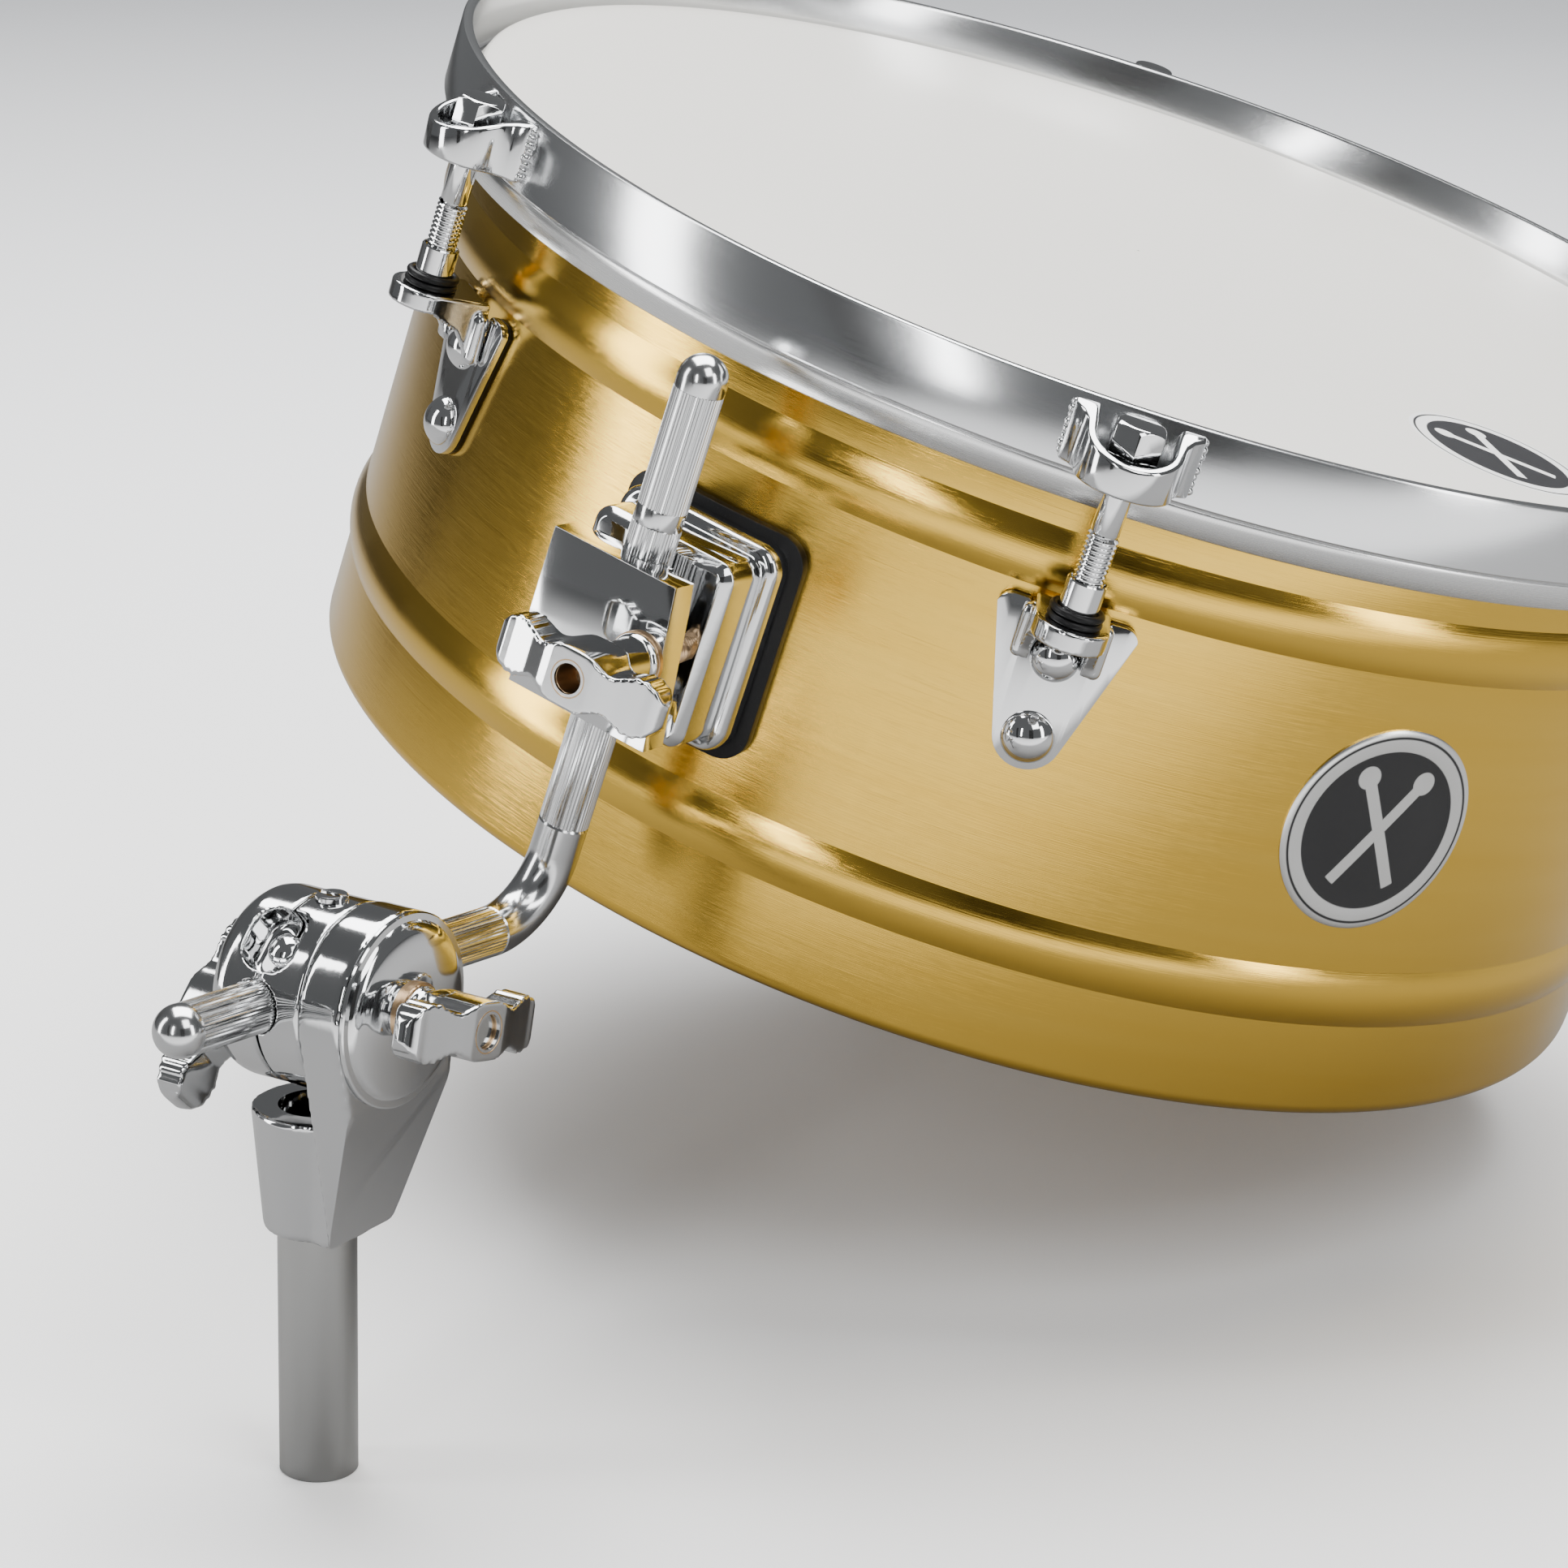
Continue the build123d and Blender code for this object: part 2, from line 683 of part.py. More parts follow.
with BuildPart() as clamp_washer:
    with BuildSketch(bracket.offset(clamp_face)):
        with Locations((stud_offset, 0)):
            Circle(washer_diameter / 2)
            Circle(stud_diameter / 2 + free_clearance, mode=Mode.SUBTRACT)
    extrude(amount=tension_washer)
finish(clamp_washer, "clamp_washer")


def wing_nut(name, seat, end, span, height, thickness, stem, bore, turn):
    """A T-shaped wing nut from the plane seat to end above it, its wings along the plane's x."""
    bar = turned(seat.offset(end - thickness), turn)
    with BuildPart() as nut:
        with BuildSketch(seat):
            Circle(stem / 2)
        extrude(amount=end - thickness / 2)
        with BuildSketch(bar):
            with BuildLine():
                for mirror_sign in (1, -1):
                    Spline(
                        (-span / 2, 0.32 * height * mirror_sign),
                        (-0.3 * span, 0.44 * height * mirror_sign),
                        (-0.14 * span, 0.5 * height * mirror_sign),
                        (0, 0.5 * height * mirror_sign),
                        (0.14 * span, 0.5 * height * mirror_sign),
                        (0.3 * span, 0.44 * height * mirror_sign),
                        (span / 2, 0.32 * height * mirror_sign),
                    )
                for end_sign in (1, -1):
                    ThreePointArc(
                        (end_sign * span / 2, 0.32 * height),
                        (end_sign * (span / 2 + 0.28 * height), 0),
                        (end_sign * span / 2, -0.32 * height),
                    )
            make_face()
        extrude(amount=thickness)
        outline = edges().filter_by(lambda e: e.length > 0.8 * span)
        fillet(outline, 0.05 * thickness)
        with Locations(seat.offset(end)):
            Hole(bore / 2, depth=2 * end)
    finish(nut, name)


clamp_seat = facing(0, clamp_face + tension_washer, bracket_height)
stud_seat = Plane(
    clamp_seat.origin + clamp_seat.x_dir * stud_offset,
    x_dir=clamp_seat.x_dir,
    z_dir=clamp_seat.z_dir,
)
wing_nut(
    "clamp_wing_nut",
    stud_seat.offset(shaft_clearance),
    wing_reach,
    wing_span - 0.56 * wing_height,
    wing_height,
    wing_thickness,
    wing_stem,
    stud_diameter + 2 * shaft_clearance,
    wing_turn,
)

# ================================================================ the L-shaped rod
rod_end_round = rod_diameter / 2
upper_end = corner + arm_up * (rod_rise - rod_end_round)
lower_end = hinge_point + arm_out * (rod_tail - rod_end_round)

with BuildPart() as l_rod:
    with BuildLine() as rod_path:
        FilletPolyline(upper_end, corner, lower_end, radius=rod_bend)
    with BuildSketch(Plane(upper_end, z_dir=-arm_up)):
        Circle(rod_diameter / 2)
    sweep()
    with Locations(upper_end, lower_end):
        Sphere(rod_end_round)
finish(l_rod, "l_rod")

# ================================================================ the tilter
rod_hole = Plane(hinge_point, x_dir=(1, 0, 0), z_dir=arm_out)
pocket_out = Vector(0, -cos(radians(pocket_angle)), sin(radians(pocket_angle)))
pocket = Plane(hinge_point, x_dir=(1, 0, 0), z_dir=pocket_out)
jaw_bolt_point = hinge_point - Vector(0, 0, jaw_bolt_drop)
jaw_bolt_seat = Plane(jaw_bolt_point, x_dir=(0, -1, 0), z_dir=(-1, 0, 0))  # z leaves the cap

with BuildPart() as tilter_body:
    with BuildSketch(tilter.offset(jaw_gap)):
        Circle(tilter_radius)
    extrude(amount=body_right - jaw_gap)
    chamfer(edges(), 0.6)
    with BuildSketch(tilter.offset(body_right)):
        Circle(ring_outer)
    extrude(amount=-tooth_height - ring_base, mode=Mode.SUBTRACT)
    with BuildSketch(tilter.offset(tilt_head_start)):
        Circle(tilt_head_diameter / 2)
    extrude(amount=body_right - tilt_head_start, mode=Mode.SUBTRACT)
    with BuildSketch(rod_hole):
        Circle(rod_diameter / 2 + shaft_clearance)
    extrude(amount=2 * tilter_radius, both=True, mode=Mode.SUBTRACT)
    with BuildSketch(pocket.offset(pocket_floor)):
        RectangleRounded(pocket_width, pocket_length, 4)
    extrude(amount=tilter_radius, mode=Mode.SUBTRACT)
    with BuildSketch(pocket.offset(pocket_floor)):
        Circle(button_stem / 2)
    extrude(amount=-button_stem_depth, mode=Mode.SUBTRACT)
    with BuildSketch(Plane(hinge_point + Vector(5, 0, tilter_radius - set_screw_height))):
        Circle(set_screw_diameter / 2)
    extrude(amount=2 * set_screw_height, mode=Mode.SUBTRACT)
    with BuildSketch(jaw_bolt_seat.offset(-jaw_gap)):
        Circle(jaw_bolt_diameter / 2)
    extrude(amount=-body_right, mode=Mode.SUBTRACT)
    with BuildSketch(jaw_bolt_seat.offset(-jaw_head_start)):
        Circle(jaw_head_diameter / 2)
    extrude(amount=-body_right, mode=Mode.SUBTRACT)
finish(tilter_body, "tilter_body")

with BuildPart() as keeper_button:
    with BuildSketch(pocket.offset(pocket_floor)):
        Circle(button_diameter / 2)
    extrude(amount=button_height * 0.4)
    with BuildSketch(pocket.offset(pocket_floor + button_height * 0.4)):
        Circle(button_diameter / 2)
    extrude(amount=button_height * 0.6, taper=40)
    with BuildSketch(pocket.offset(pocket_floor)):
        Circle(button_stem / 2)
    extrude(amount=-button_stem_depth)
finish(keeper_button, "keeper_button")

with BuildPart() as set_screw:
    with BuildSketch(Plane(hinge_point + Vector(5, 0, tilter_radius - set_screw_height))):
        Circle(set_screw_diameter / 2)
    extrude(amount=set_screw_height + 1)
    with BuildSketch(Plane(hinge_point + Vector(5, 0, tilter_radius - 0.5))):
        Rectangle(set_screw_diameter + 1, 1.6)
    extrude(amount=3, mode=Mode.SUBTRACT)
finish(set_screw, "set_screw")

with BuildPart() as tilter_cap:
    with BuildSketch(tilter_section):
        with BuildLine():
            Polyline(
                (-jaw_gap, 0),
                (-jaw_gap, tilter_radius),
                (cap_rim, tilter_radius),
            )
            ThreePointArc(
                (cap_rim, tilter_radius),
                ((cap_rim + cap_crown) / 2 - 0.9, 0.86 * tilter_radius),
                (cap_crown, 0.72 * tilter_radius),
            )
            Polyline((cap_crown, 0.72 * tilter_radius), (cap_crown, 0), (-jaw_gap, 0))
        make_face()
    revolve(axis=hinge_axis)
    with BuildSketch(rod_hole):
        Circle(rod_diameter / 2 + shaft_clearance)
    extrude(amount=2 * tilter_radius, both=True, mode=Mode.SUBTRACT)
    with BuildSketch(pocket.offset(pocket_floor)):
        RectangleRounded(pocket_width, pocket_length, 4)
    extrude(amount=tilter_radius, mode=Mode.SUBTRACT)
    with BuildSketch(pocket.offset(pocket_floor)):
        Circle(button_stem / 2 + free_clearance)
    extrude(amount=-button_stem_depth - free_clearance, mode=Mode.SUBTRACT)
    with BuildSketch(Plane(hinge_point + Vector(5, 0, tilter_radius - set_screw_height))):
        Circle(set_screw_diameter / 2 + free_clearance)
    extrude(amount=2 * set_screw_height, mode=Mode.SUBTRACT)
    with BuildSketch(jaw_bolt_seat):
        Circle(jaw_bolt_diameter / 2 + shaft_clearance)
    extrude(amount=-2 * cap_crown, mode=Mode.SUBTRACT)
finish(tilter_cap, "tilter_cap")

with BuildPart() as jaw_bolt:
    with BuildSketch(jaw_bolt_seat.offset(-jaw_head_start)):
        Circle(jaw_head_diameter / 2)
    extrude(amount=jaw_head_start + tooth_height + ring_base - body_right)
    with BuildSketch(jaw_bolt_seat.offset(-jaw_head_start)):
        Circle(jaw_bolt_diameter / 2)
    extrude(amount=jaw_head_start - jaw_bolt_end)
finish(jaw_bolt, "jaw_bolt")


def ratchet_ring(name, base, direction):
    """A ring of radial teeth on a plane across the hinge, whose teeth stand towards direction."""
    with BuildPart() as ring:
        with BuildSketch(base):
            Circle(ring_outer)
            Circle(ring_inner, mode=Mode.SUBTRACT)
        extrude(amount=ring_base * direction)
        pitch = 2 * ring_outer * tan(radians(180 / tooth_count))
        for step in range(tooth_count):
            tooth = turned(base, step * 360 / tooth_count)
            wedge = Plane(
                tooth.origin + tooth.z_dir * ring_base * direction + tooth.x_dir * ring_outer,
                x_dir=tooth.y_dir,
                z_dir=-tooth.x_dir,
            )
            rise = tooth_height * direction * (1 if wedge.y_dir.dot(tooth.z_dir) > 0 else -1)
            with BuildSketch(wedge):
                Polygon((-pitch / 2, 0), (pitch / 2, 0), (0, rise), align=None)
            extrude(amount=ring_outer - ring_inner, taper=0)
        with BuildSketch(base):
            Circle(3 * ring_outer)
            Circle(ring_outer, mode=Mode.SUBTRACT)
        extrude(amount=3 * ring_base, both=True, mode=Mode.SUBTRACT)
        with BuildSketch(base):
            Circle(ring_inner)
        extrude(amount=3 * ring_base, both=True, mode=Mode.SUBTRACT)
    finish(ring, name)


ratchet_ring("moving_ratchet_ring", tilter.offset(body_right - tooth_height - ring_base), 1)
cheek_left = body_right + half_gap
ratchet_ring("fixed_ratchet_ring", tilter.offset(cheek_left + tooth_height + ring_base), -1)

with BuildPart() as tilter_bolt:
    with BuildSketch(tilter.offset(tilt_head_start)):
        Circle(tilt_head_diameter / 2)
    extrude(amount=body_right - tooth_height - ring_base - tilt_head_start)
    with BuildSketch(tilter.offset(tilt_head_start)):
        Circle(tilt_bolt_diameter / 2)
    extrude(amount=tilt_bolt_end - tilt_head_start)
finish(tilter_bolt, "tilter_bolt")

spring_start = body_right - tooth_height - ring_base + spring_wire / 2 + 0.1
spring_end = cheek_left + tooth_height + ring_base - spring_wire / 2 - 0.1

with BuildPart() as ratchet_spring:
    with BuildLine():
        coil = Helix(
            pitch=(spring_end - spring_start) / 3,
            height=spring_end - spring_start,
            radius=spring_radius,
            center=hinge_point + Vector(spring_start, 0, 0),
            direction=(1, 0, 0),
        )
    with BuildSketch(Plane(coil @ 0, z_dir=coil % 0)):
        Circle(spring_wire / 2)
    sweep(is_frenet=True)
finish(ratchet_spring, "ratchet_spring")

pin_plane = Plane(origin=(0, 0, tilter_height - socket_bottom + pin_above_rim), z_dir=(0, -1, 0))
spigot_start = tilter_height - socket_bottom - spigot_show

with BuildPart() as tilter_post:
    with BuildSketch(tilter.offset(cheek_left)):
        Circle(cheek_radius)
    extrude(amount=cheek_right - cheek_left)
    with BuildSketch(tilter.offset(cheek_left)):
        with BuildLine():
            slope = Line((cheek_radius * 0.98, -4), (socket_foot_radius, -socket_bottom))
            Line(slope @ 1, (-socket_foot_radius, -socket_bottom))
            Line((-socket_foot_radius, -socket_bottom), (-cheek_radius * 0.98, -4))
            Line((-cheek_radius * 0.98, -4), slope @ 0)
        make_face()
    extrude(amount=cheek_right - cheek_left)
    with BuildSketch(Plane(hinge_point - Vector(0, 0, socket_bottom))) as foot:
        Circle(socket_foot_radius)
    with BuildSketch(Plane(hinge_point - Vector(0, 0, socket_top))) as rim:
        Circle(socket_top_radius)
        with Locations((cheek_left / 2 + 2, 0)):
            Rectangle(cheek_left, 1.6 * socket_top_radius)
    loft()
    with BuildSketch(tilter_section):
        with BuildLine():
            Polyline(
                (cheek_right + 0.1, -cheek_radius + 6),
                (socket_foot_radius, -socket_bottom),
                (cheek_right + 20, -socket_bottom - 1),
                (cheek_right + 20, -cheek_radius + 6),
                close=True,
            )
        make_face()
    extrude(amount=2 * cheek_radius, both=True, mode=Mode.SUBTRACT)
    with BuildSketch(tilter.offset(cheek_left)):
        Circle(ring_outer)
    extrude(amount=tooth_height + ring_base, mode=Mode.SUBTRACT)
    with BuildSketch(tilter.offset(cheek_left)):
        Circle(tilt_bolt_diameter / 2 + shaft_clearance)
    extrude(amount=cheek_right, mode=Mode.SUBTRACT)
    with BuildSketch(tilter.offset(2 * cap_crown)):
        Circle(tilter_radius + 1.5)
    extrude(amount=cheek_left - 2 * cap_crown, mode=Mode.SUBTRACT)
    with BuildSketch(Plane.XY):
        Circle(spigot_diameter / 2)
    extrude(amount=tilter_height, mode=Mode.SUBTRACT)
    with BuildSketch(pin_plane):
        Circle(pin_diameter / 2)
    extrude(amount=2 * socket_top_radius, both=True, mode=Mode.SUBTRACT)
finish(tilter_post, "tilter_post")

with BuildPart() as ratchet_cover:
    with BuildSketch(tilter_section):
        cover_face = cheek_right + cover_step
        bolt_hole = tilt_bolt_diameter / 2 + shaft_clearance
        with BuildLine():
            Polyline(
                (cheek_right, bolt_hole),
                (cheek_right, cover_radius),
                (cover_face, cover_radius),
                (cover_face, cover_dome_radius),
            )
            ThreePointArc(
                (cover_face, cover_dome_radius),
                (cover_face + 0.72 * cover_crown, 0.6 * cover_dome_radius),
                (cover_face + cover_crown, 0.3 * cover_dome_radius),
            )
            Polyline(
                (cover_face + cover_crown, 0.3 * cover_dome_radius),
                (cover_face + cover_crown, bolt_hole),
                (cheek_right, bolt_hole),
            )
        make_face()
    revolve(axis=hinge_axis)
finish(ratchet_cover, "ratchet_cover")

washer_face = cheek_right + cover_step + cover_crown

with BuildPart() as brass_washer:
    with BuildSketch(tilter.offset(washer_face)):
        Circle(brass_washer_diameter / 2)
        Circle(tilt_bolt_diameter / 2 + free_clearance, mode=Mode.SUBTRACT)
    extrude(amount=brass_washer_height)
finish(brass_washer, "brass_washer")

knob_seat = washer_face + brass_washer_height + shaft_clearance
wing_nut(
    "tilter_wing_nut",
    tilter.offset(knob_seat),
    knob_end - knob_seat,
    knob_span - 0.56 * knob_height,
    knob_height,
    knob_thickness,
    wing_stem,
    tilt_bolt_diameter + 2 * shaft_clearance,
    knob_turn,
)

with BuildPart() as rear_washer:
    with BuildSketch(jaw_bolt_seat.offset(-cap_crown)):
        Circle(rear_washer_diameter / 2)
        Circle(jaw_bolt_diameter / 2 + free_clearance, mode=Mode.SUBTRACT)
    extrude(amount=brass_washer_height)
finish(rear_washer, "rear_washer")

rear_seat_distance = brass_washer_height + shaft_clearance - cap_crown
wing_nut(
    "rear_wing_nut",
    jaw_bolt_seat.offset(rear_seat_distance),
    -rear_knob_end - rear_seat_distance,
    rear_knob_span - 0.56 * knob_height,
    knob_height,
    knob_thickness,
    rear_stem,
    jaw_bolt_diameter + 2 * shaft_clearance,
    rear_knob_turn,
)

# ================================================================ the stand tube
tube_top = tilter_height - socket_top - tube_seat

with BuildPart() as stand_tube:
    with BuildSketch(Plane.XY):
        Circle(tube_diameter / 2)
    extrude(amount=spigot_start)
    with BuildSketch(Plane.XY):
        Circle(spigot_diameter / 2)
    extrude(amount=tube_top)
    with BuildSketch(Plane.XY):
        Circle(tube_diameter / 2 - tube_wall)
    extrude(amount=tube_top, mode=Mode.SUBTRACT)
    with BuildSketch(pin_plane):
        Circle(pin_diameter / 2)
    extrude(amount=tube_diameter, both=True, mode=Mode.SUBTRACT)
finish(stand_tube, "stand_tube")

with BuildPart() as tube_pin:
    with BuildSketch(pin_plane):
        Circle(pin_diameter / 2)
    extrude(amount=socket_foot_radius - 0.5, both=True)
finish(tube_pin, "tube_pin")
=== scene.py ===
# %% [markdown]
# # A brass drum on its rod, tilter and tube
# The solids come in first as the frame. Every piece made below is modelled in millimetres in a
# small frame of its own, and then seated in the shared frame, which is in metres with +Z up.

# %%
import math

import bpy
from mathutils import Matrix, Vector


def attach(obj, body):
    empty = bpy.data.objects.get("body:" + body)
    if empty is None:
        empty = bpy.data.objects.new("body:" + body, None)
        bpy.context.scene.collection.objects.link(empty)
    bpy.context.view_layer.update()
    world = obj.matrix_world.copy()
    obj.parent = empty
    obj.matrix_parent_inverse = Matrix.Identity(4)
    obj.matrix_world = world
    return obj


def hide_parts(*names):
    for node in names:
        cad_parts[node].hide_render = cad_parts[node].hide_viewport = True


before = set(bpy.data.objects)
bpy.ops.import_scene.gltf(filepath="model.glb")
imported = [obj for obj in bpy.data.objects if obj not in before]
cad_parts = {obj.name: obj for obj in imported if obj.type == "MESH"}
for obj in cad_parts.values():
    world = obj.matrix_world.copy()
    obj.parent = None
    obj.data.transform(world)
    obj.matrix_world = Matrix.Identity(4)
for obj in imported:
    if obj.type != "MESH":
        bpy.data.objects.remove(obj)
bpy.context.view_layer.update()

# %% [markdown]
# ## Where things are
# The rod's lower arm points out of the tilter, its upper arm runs up the bracket, and the drum's
# axis is parallel to that upper arm. All the other places follow from these few numbers.

# %%
TILTER_HEIGHT = 123.0
ARM_RISE = math.radians(4.7)
ROD_ROLL = math.radians(15.7)
DRUM_SWING = math.radians(1.1)
ROD_REACH = 87.9
ROD_TAIL = 55.4
ROD_RISE = 152.8
ROD_STAND_OFF = 218.0
HOOP_ABOVE_CORNER = 173.8
LUG_PHASE = 27.8
BRACKET_HEIGHT = -94.0

hinge = Vector((0, 0, TILTER_HEIGHT))
arm_out = Vector((0, -math.cos(ARM_RISE), math.sin(ARM_RISE)))
arm_up = Vector(
    (
        math.sin(ROD_ROLL),
        math.sin(ARM_RISE) * math.cos(ROD_ROLL),
        math.cos(ARM_RISE) * math.cos(ROD_ROLL),
    )
)
corner = hinge - arm_out * ROD_REACH
outward = Matrix.Rotation(DRUM_SWING, 3, arm_up) @ arm_out
drum_centre = corner + arm_up * HOOP_ABOVE_CORNER - outward * ROD_STAND_OFF
print("drum centre, mm", [round(c, 1) for c in drum_centre])

# %% [markdown]
# ## Small frames
# A frame is a 4 x 4 matrix made from an origin, the direction of its z, and the direction of its
# x. `on_drum` gives one at an angle round the drum: its z either follows the drum's axis or looks
# away from it.

# %%


def make_frame(origin, z_axis, x_axis):
    z = Vector(z_axis).normalized()
    x = (Vector(x_axis) - Vector(x_axis).dot(z) * z).normalized()
    y = z.cross(x)
    return Matrix.Translation(origin) @ Matrix((x, y, z)).transposed().to_4x4()


def on_drum(angle, radius, height, looks_out=False):
    out = Matrix.Rotation(math.radians(angle), 3, arm_up) @ outward
    origin = drum_centre + out * radius + arm_up * height
    if looks_out:
        return make_frame(origin, out, arm_up.cross(out))
    return make_frame(origin, arm_up, out)


DRUM = make_frame(drum_centre, arm_up, outward)
TILTER = make_frame(hinge, (1, 0, 0), (0, 1, 0))
LUG_ANGLES = [LUG_PHASE + 60 * step for step in range(6)]
print("lugs at", LUG_ANGLES)

# %% [markdown]
# ## Helpers for modelling
# `ring_walk` extrudes a circle along (radius, height) pairs, the way a lathe turns a profile.
# `prism` fills an outline and extrudes it. `soften` bevels hard edges and smooths the shading.
# `seat` moves a finished piece from its own frame to the shared one and applies the transform.

# %%


def pick(*objs):
    bpy.ops.object.select_all(action="DESELECT")
    for obj in objs:
        obj.select_set(True)
    bpy.context.view_layer.objects.active = objs[0]


def ring_walk(name, profile, segments=96, closed=False, capped=True):
    bpy.ops.object.select_all(action="DESELECT")
    radius, height = profile[0]
    bpy.ops.mesh.primitive_circle_add(vertices=segments, radius=radius, location=(0, 0, height))
    obj = bpy.context.object
    obj.name = name
    bpy.ops.object.transform_apply(location=True)
    bpy.ops.object.mode_set(mode="EDIT")
    bpy.ops.mesh.select_all(action="SELECT")
    for r, z in profile[1:]:
        step = {"value": (0, 0, z - height)}
        bpy.ops.mesh.extrude_region_move(TRANSFORM_OT_translate=step)
        bpy.ops.transform.resize(value=(r / radius, r / radius, 1), center_override=(0, 0, z))
        radius, height = r, z
    bpy.ops.mesh.select_all(action="SELECT")
    if closed:
        bpy.ops.mesh.remove_doubles(threshold=0.002)
    elif capped:
        bpy.ops.mesh.fill_holes(sides=0)
    bpy.ops.mesh.normals_make_consistent(inside=False)
    bpy.ops.object.mode_set(mode="OBJECT")
    return obj


def prism(name, outline, low, high):
    bpy.ops.object.select_all(action="DESELECT")
    bpy.ops.mesh.primitive_circle_add(vertices=len(outline), radius=1, fill_type="NGON")
    obj = bpy.context.object
    obj.name = name
    for vertex, (x, y) in zip(obj.data.vertices, outline):
        vertex.co = (x, y, low)
    bpy.ops.object.mode_set(mode="EDIT")
    bpy.ops.mesh.select_all(action="SELECT")
    bpy.ops.mesh.extrude_region_move(TRANSFORM_OT_translate={"value": (0, 0, high - low)})
    bpy.ops.mesh.select_all(action="SELECT")
    bpy.ops.mesh.fill_holes(sides=0)
    bpy.ops.mesh.normals_make_consistent(inside=False)
    bpy.ops.object.mode_set(mode="OBJECT")
    return obj


def arc(centre_r, centre_z, radius, start, end, count):
    points = []
    for step in range(count + 1):
        angle = math.radians(start + (end - start) * step / count)
        points.append((centre_r + radius * math.cos(angle), centre_z + radius * math.sin(angle)))
    return points


def modify(obj, kind, **settings):
    pick(obj)
    modifier = obj.modifiers.new(kind.lower(), kind)
    for key, value in settings.items():
        setattr(modifier, key, value)
    bpy.ops.object.modifier_apply(modifier=modifier.name)


def soften(obj, width=0.0, segments=2, angle=35):
    limit = math.radians(angle)
    if width:
        modify(
            obj,
            "BEVEL",
            width=width,
            segments=segments,
            limit_method="ANGLE",
            angle_limit=limit,
            miter_outer="MITER_ARC",
        )
    pick(obj)
    bpy.ops.object.shade_smooth_by_angle(angle=limit)
    return obj


def cut(obj, tool, kind="DIFFERENCE"):
    modify(obj, "BOOLEAN", operation=kind, object=tool, solver="EXACT")
    bpy.data.objects.remove(tool, do_unlink=True)
    return obj


def join(name, pieces):
    pick(*pieces)
    if len(pieces) > 1:
        bpy.ops.object.join()
    bpy.context.object.name = name
    return bpy.context.object


def seat(obj, where):
    pick(obj)
    obj.matrix_world = Matrix.Scale(0.001, 4) @ where @ obj.matrix_world
    bpy.ops.object.transform_apply(location=True, rotation=True, scale=True)
    return obj


def repeat(name, model, places):
    copies = []
    for place in places:
        pick(model)
        bpy.ops.object.duplicate()
        copies.append(seat(bpy.context.object, place))
    bpy.data.objects.remove(model, do_unlink=True)
    return join(name, copies)


def hand_over(obj, body, material, *nodes):
    obj.data.materials.clear()
    obj.data.materials.append(material)
    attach(obj, body)
    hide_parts(*nodes)
    print(obj.name, "on", body, "faces", len(obj.data.polygons))
    return obj

# %% [markdown]
# ## Shader groups
# `Round the drum` turns object coordinates into a height along the drum's axis, a radius and an
# angle. `Brushing` draws fine lines that run round it. `Handling` gives faint smears for polished
# metal. `Oval mark` draws a plain emblem from two flat coordinates.

# %%


def new_group(name, inputs, outputs):
    tree = bpy.data.node_groups.new(name, "ShaderNodeTree")
    for label, kind in inputs:
        tree.interface.new_socket(label, in_out="INPUT", socket_type=kind)
    for label, kind in outputs:
        tree.interface.new_socket(label, in_out="OUTPUT", socket_type=kind)
    return tree, tree.nodes.new("NodeGroupInput"), tree.nodes.new("NodeGroupOutput")


def feed(tree, node, socket, value):
    target = node.inputs[socket]
    if isinstance(value, bpy.types.NodeSocket):
        tree.links.new(value, target)
    else:
        target.default_value = value


def math_node(tree, operation, a, b=0.0, clamp=False):
    node = tree.nodes.new("ShaderNodeMath")
    node.operation = operation
    node.use_clamp = clamp
    feed(tree, node, 0, a)
    feed(tree, node, 1, b)
    return node.outputs[0]


def vector_node(tree, operation, a, b=(0.0, 0.0, 0.0)):
    node = tree.nodes.new("ShaderNodeVectorMath")
    node.operation = operation
    feed(tree, node, 0, a)
    feed(tree, node, 1, b)
    return node.outputs["Value" if operation == "DOT_PRODUCT" else "Vector"]


def noise_node(tree, vector, scale, detail=2.0, roughness=0.5):
    node = tree.nodes.new("ShaderNodeTexNoise")
    feed(tree, node, "Vector", vector)
    feed(tree, node, "Scale", scale)
    feed(tree, node, "Detail", detail)
    feed(tree, node, "Roughness", roughness)
    return node.outputs["Fac"]


def combine_node(tree, x, y, z):
    node = tree.nodes.new("ShaderNodeCombineXYZ")
    for index, value in enumerate((x, y, z)):
        feed(tree, node, index, value)
    return node.outputs[0]


F, V = "NodeSocketFloat", "NodeSocketVector"
metres = 0.001
round_drum, given, result = new_group(
    "Round the drum", [("Vector", V)], [("Height", F), ("Radius", F), ("Angle", F)]
)
offset = vector_node(round_drum, "SUBTRACT", given.outputs["Vector"], drum_centre * metres)
along_x = vector_node(round_drum, "DOT_PRODUCT", offset, outward)
along_y = vector_node(round_drum, "DOT_PRODUCT", offset, arm_up.cross(outward))
height = vector_node(round_drum, "DOT_PRODUCT", offset, arm_up)
squares = math_node(round_drum, "MULTIPLY", along_x, along_x)
squares = math_node(
    round_drum, "ADD", squares, math_node(round_drum, "MULTIPLY", along_y, along_y)
)
feed(round_drum, result, "Height", height)
feed(round_drum, result, "Radius", math_node(round_drum, "SQRT", squares))
feed(round_drum, result, "Angle", math_node(round_drum, "ARCTAN2", along_y, along_x))
print("made", round_drum.name)

# %% [markdown]
# Brushed lines are long in one direction and very short in the other, so the noise is sampled
# with a stretched vector. The angle is turned into a point on a circle so that there is no seam.

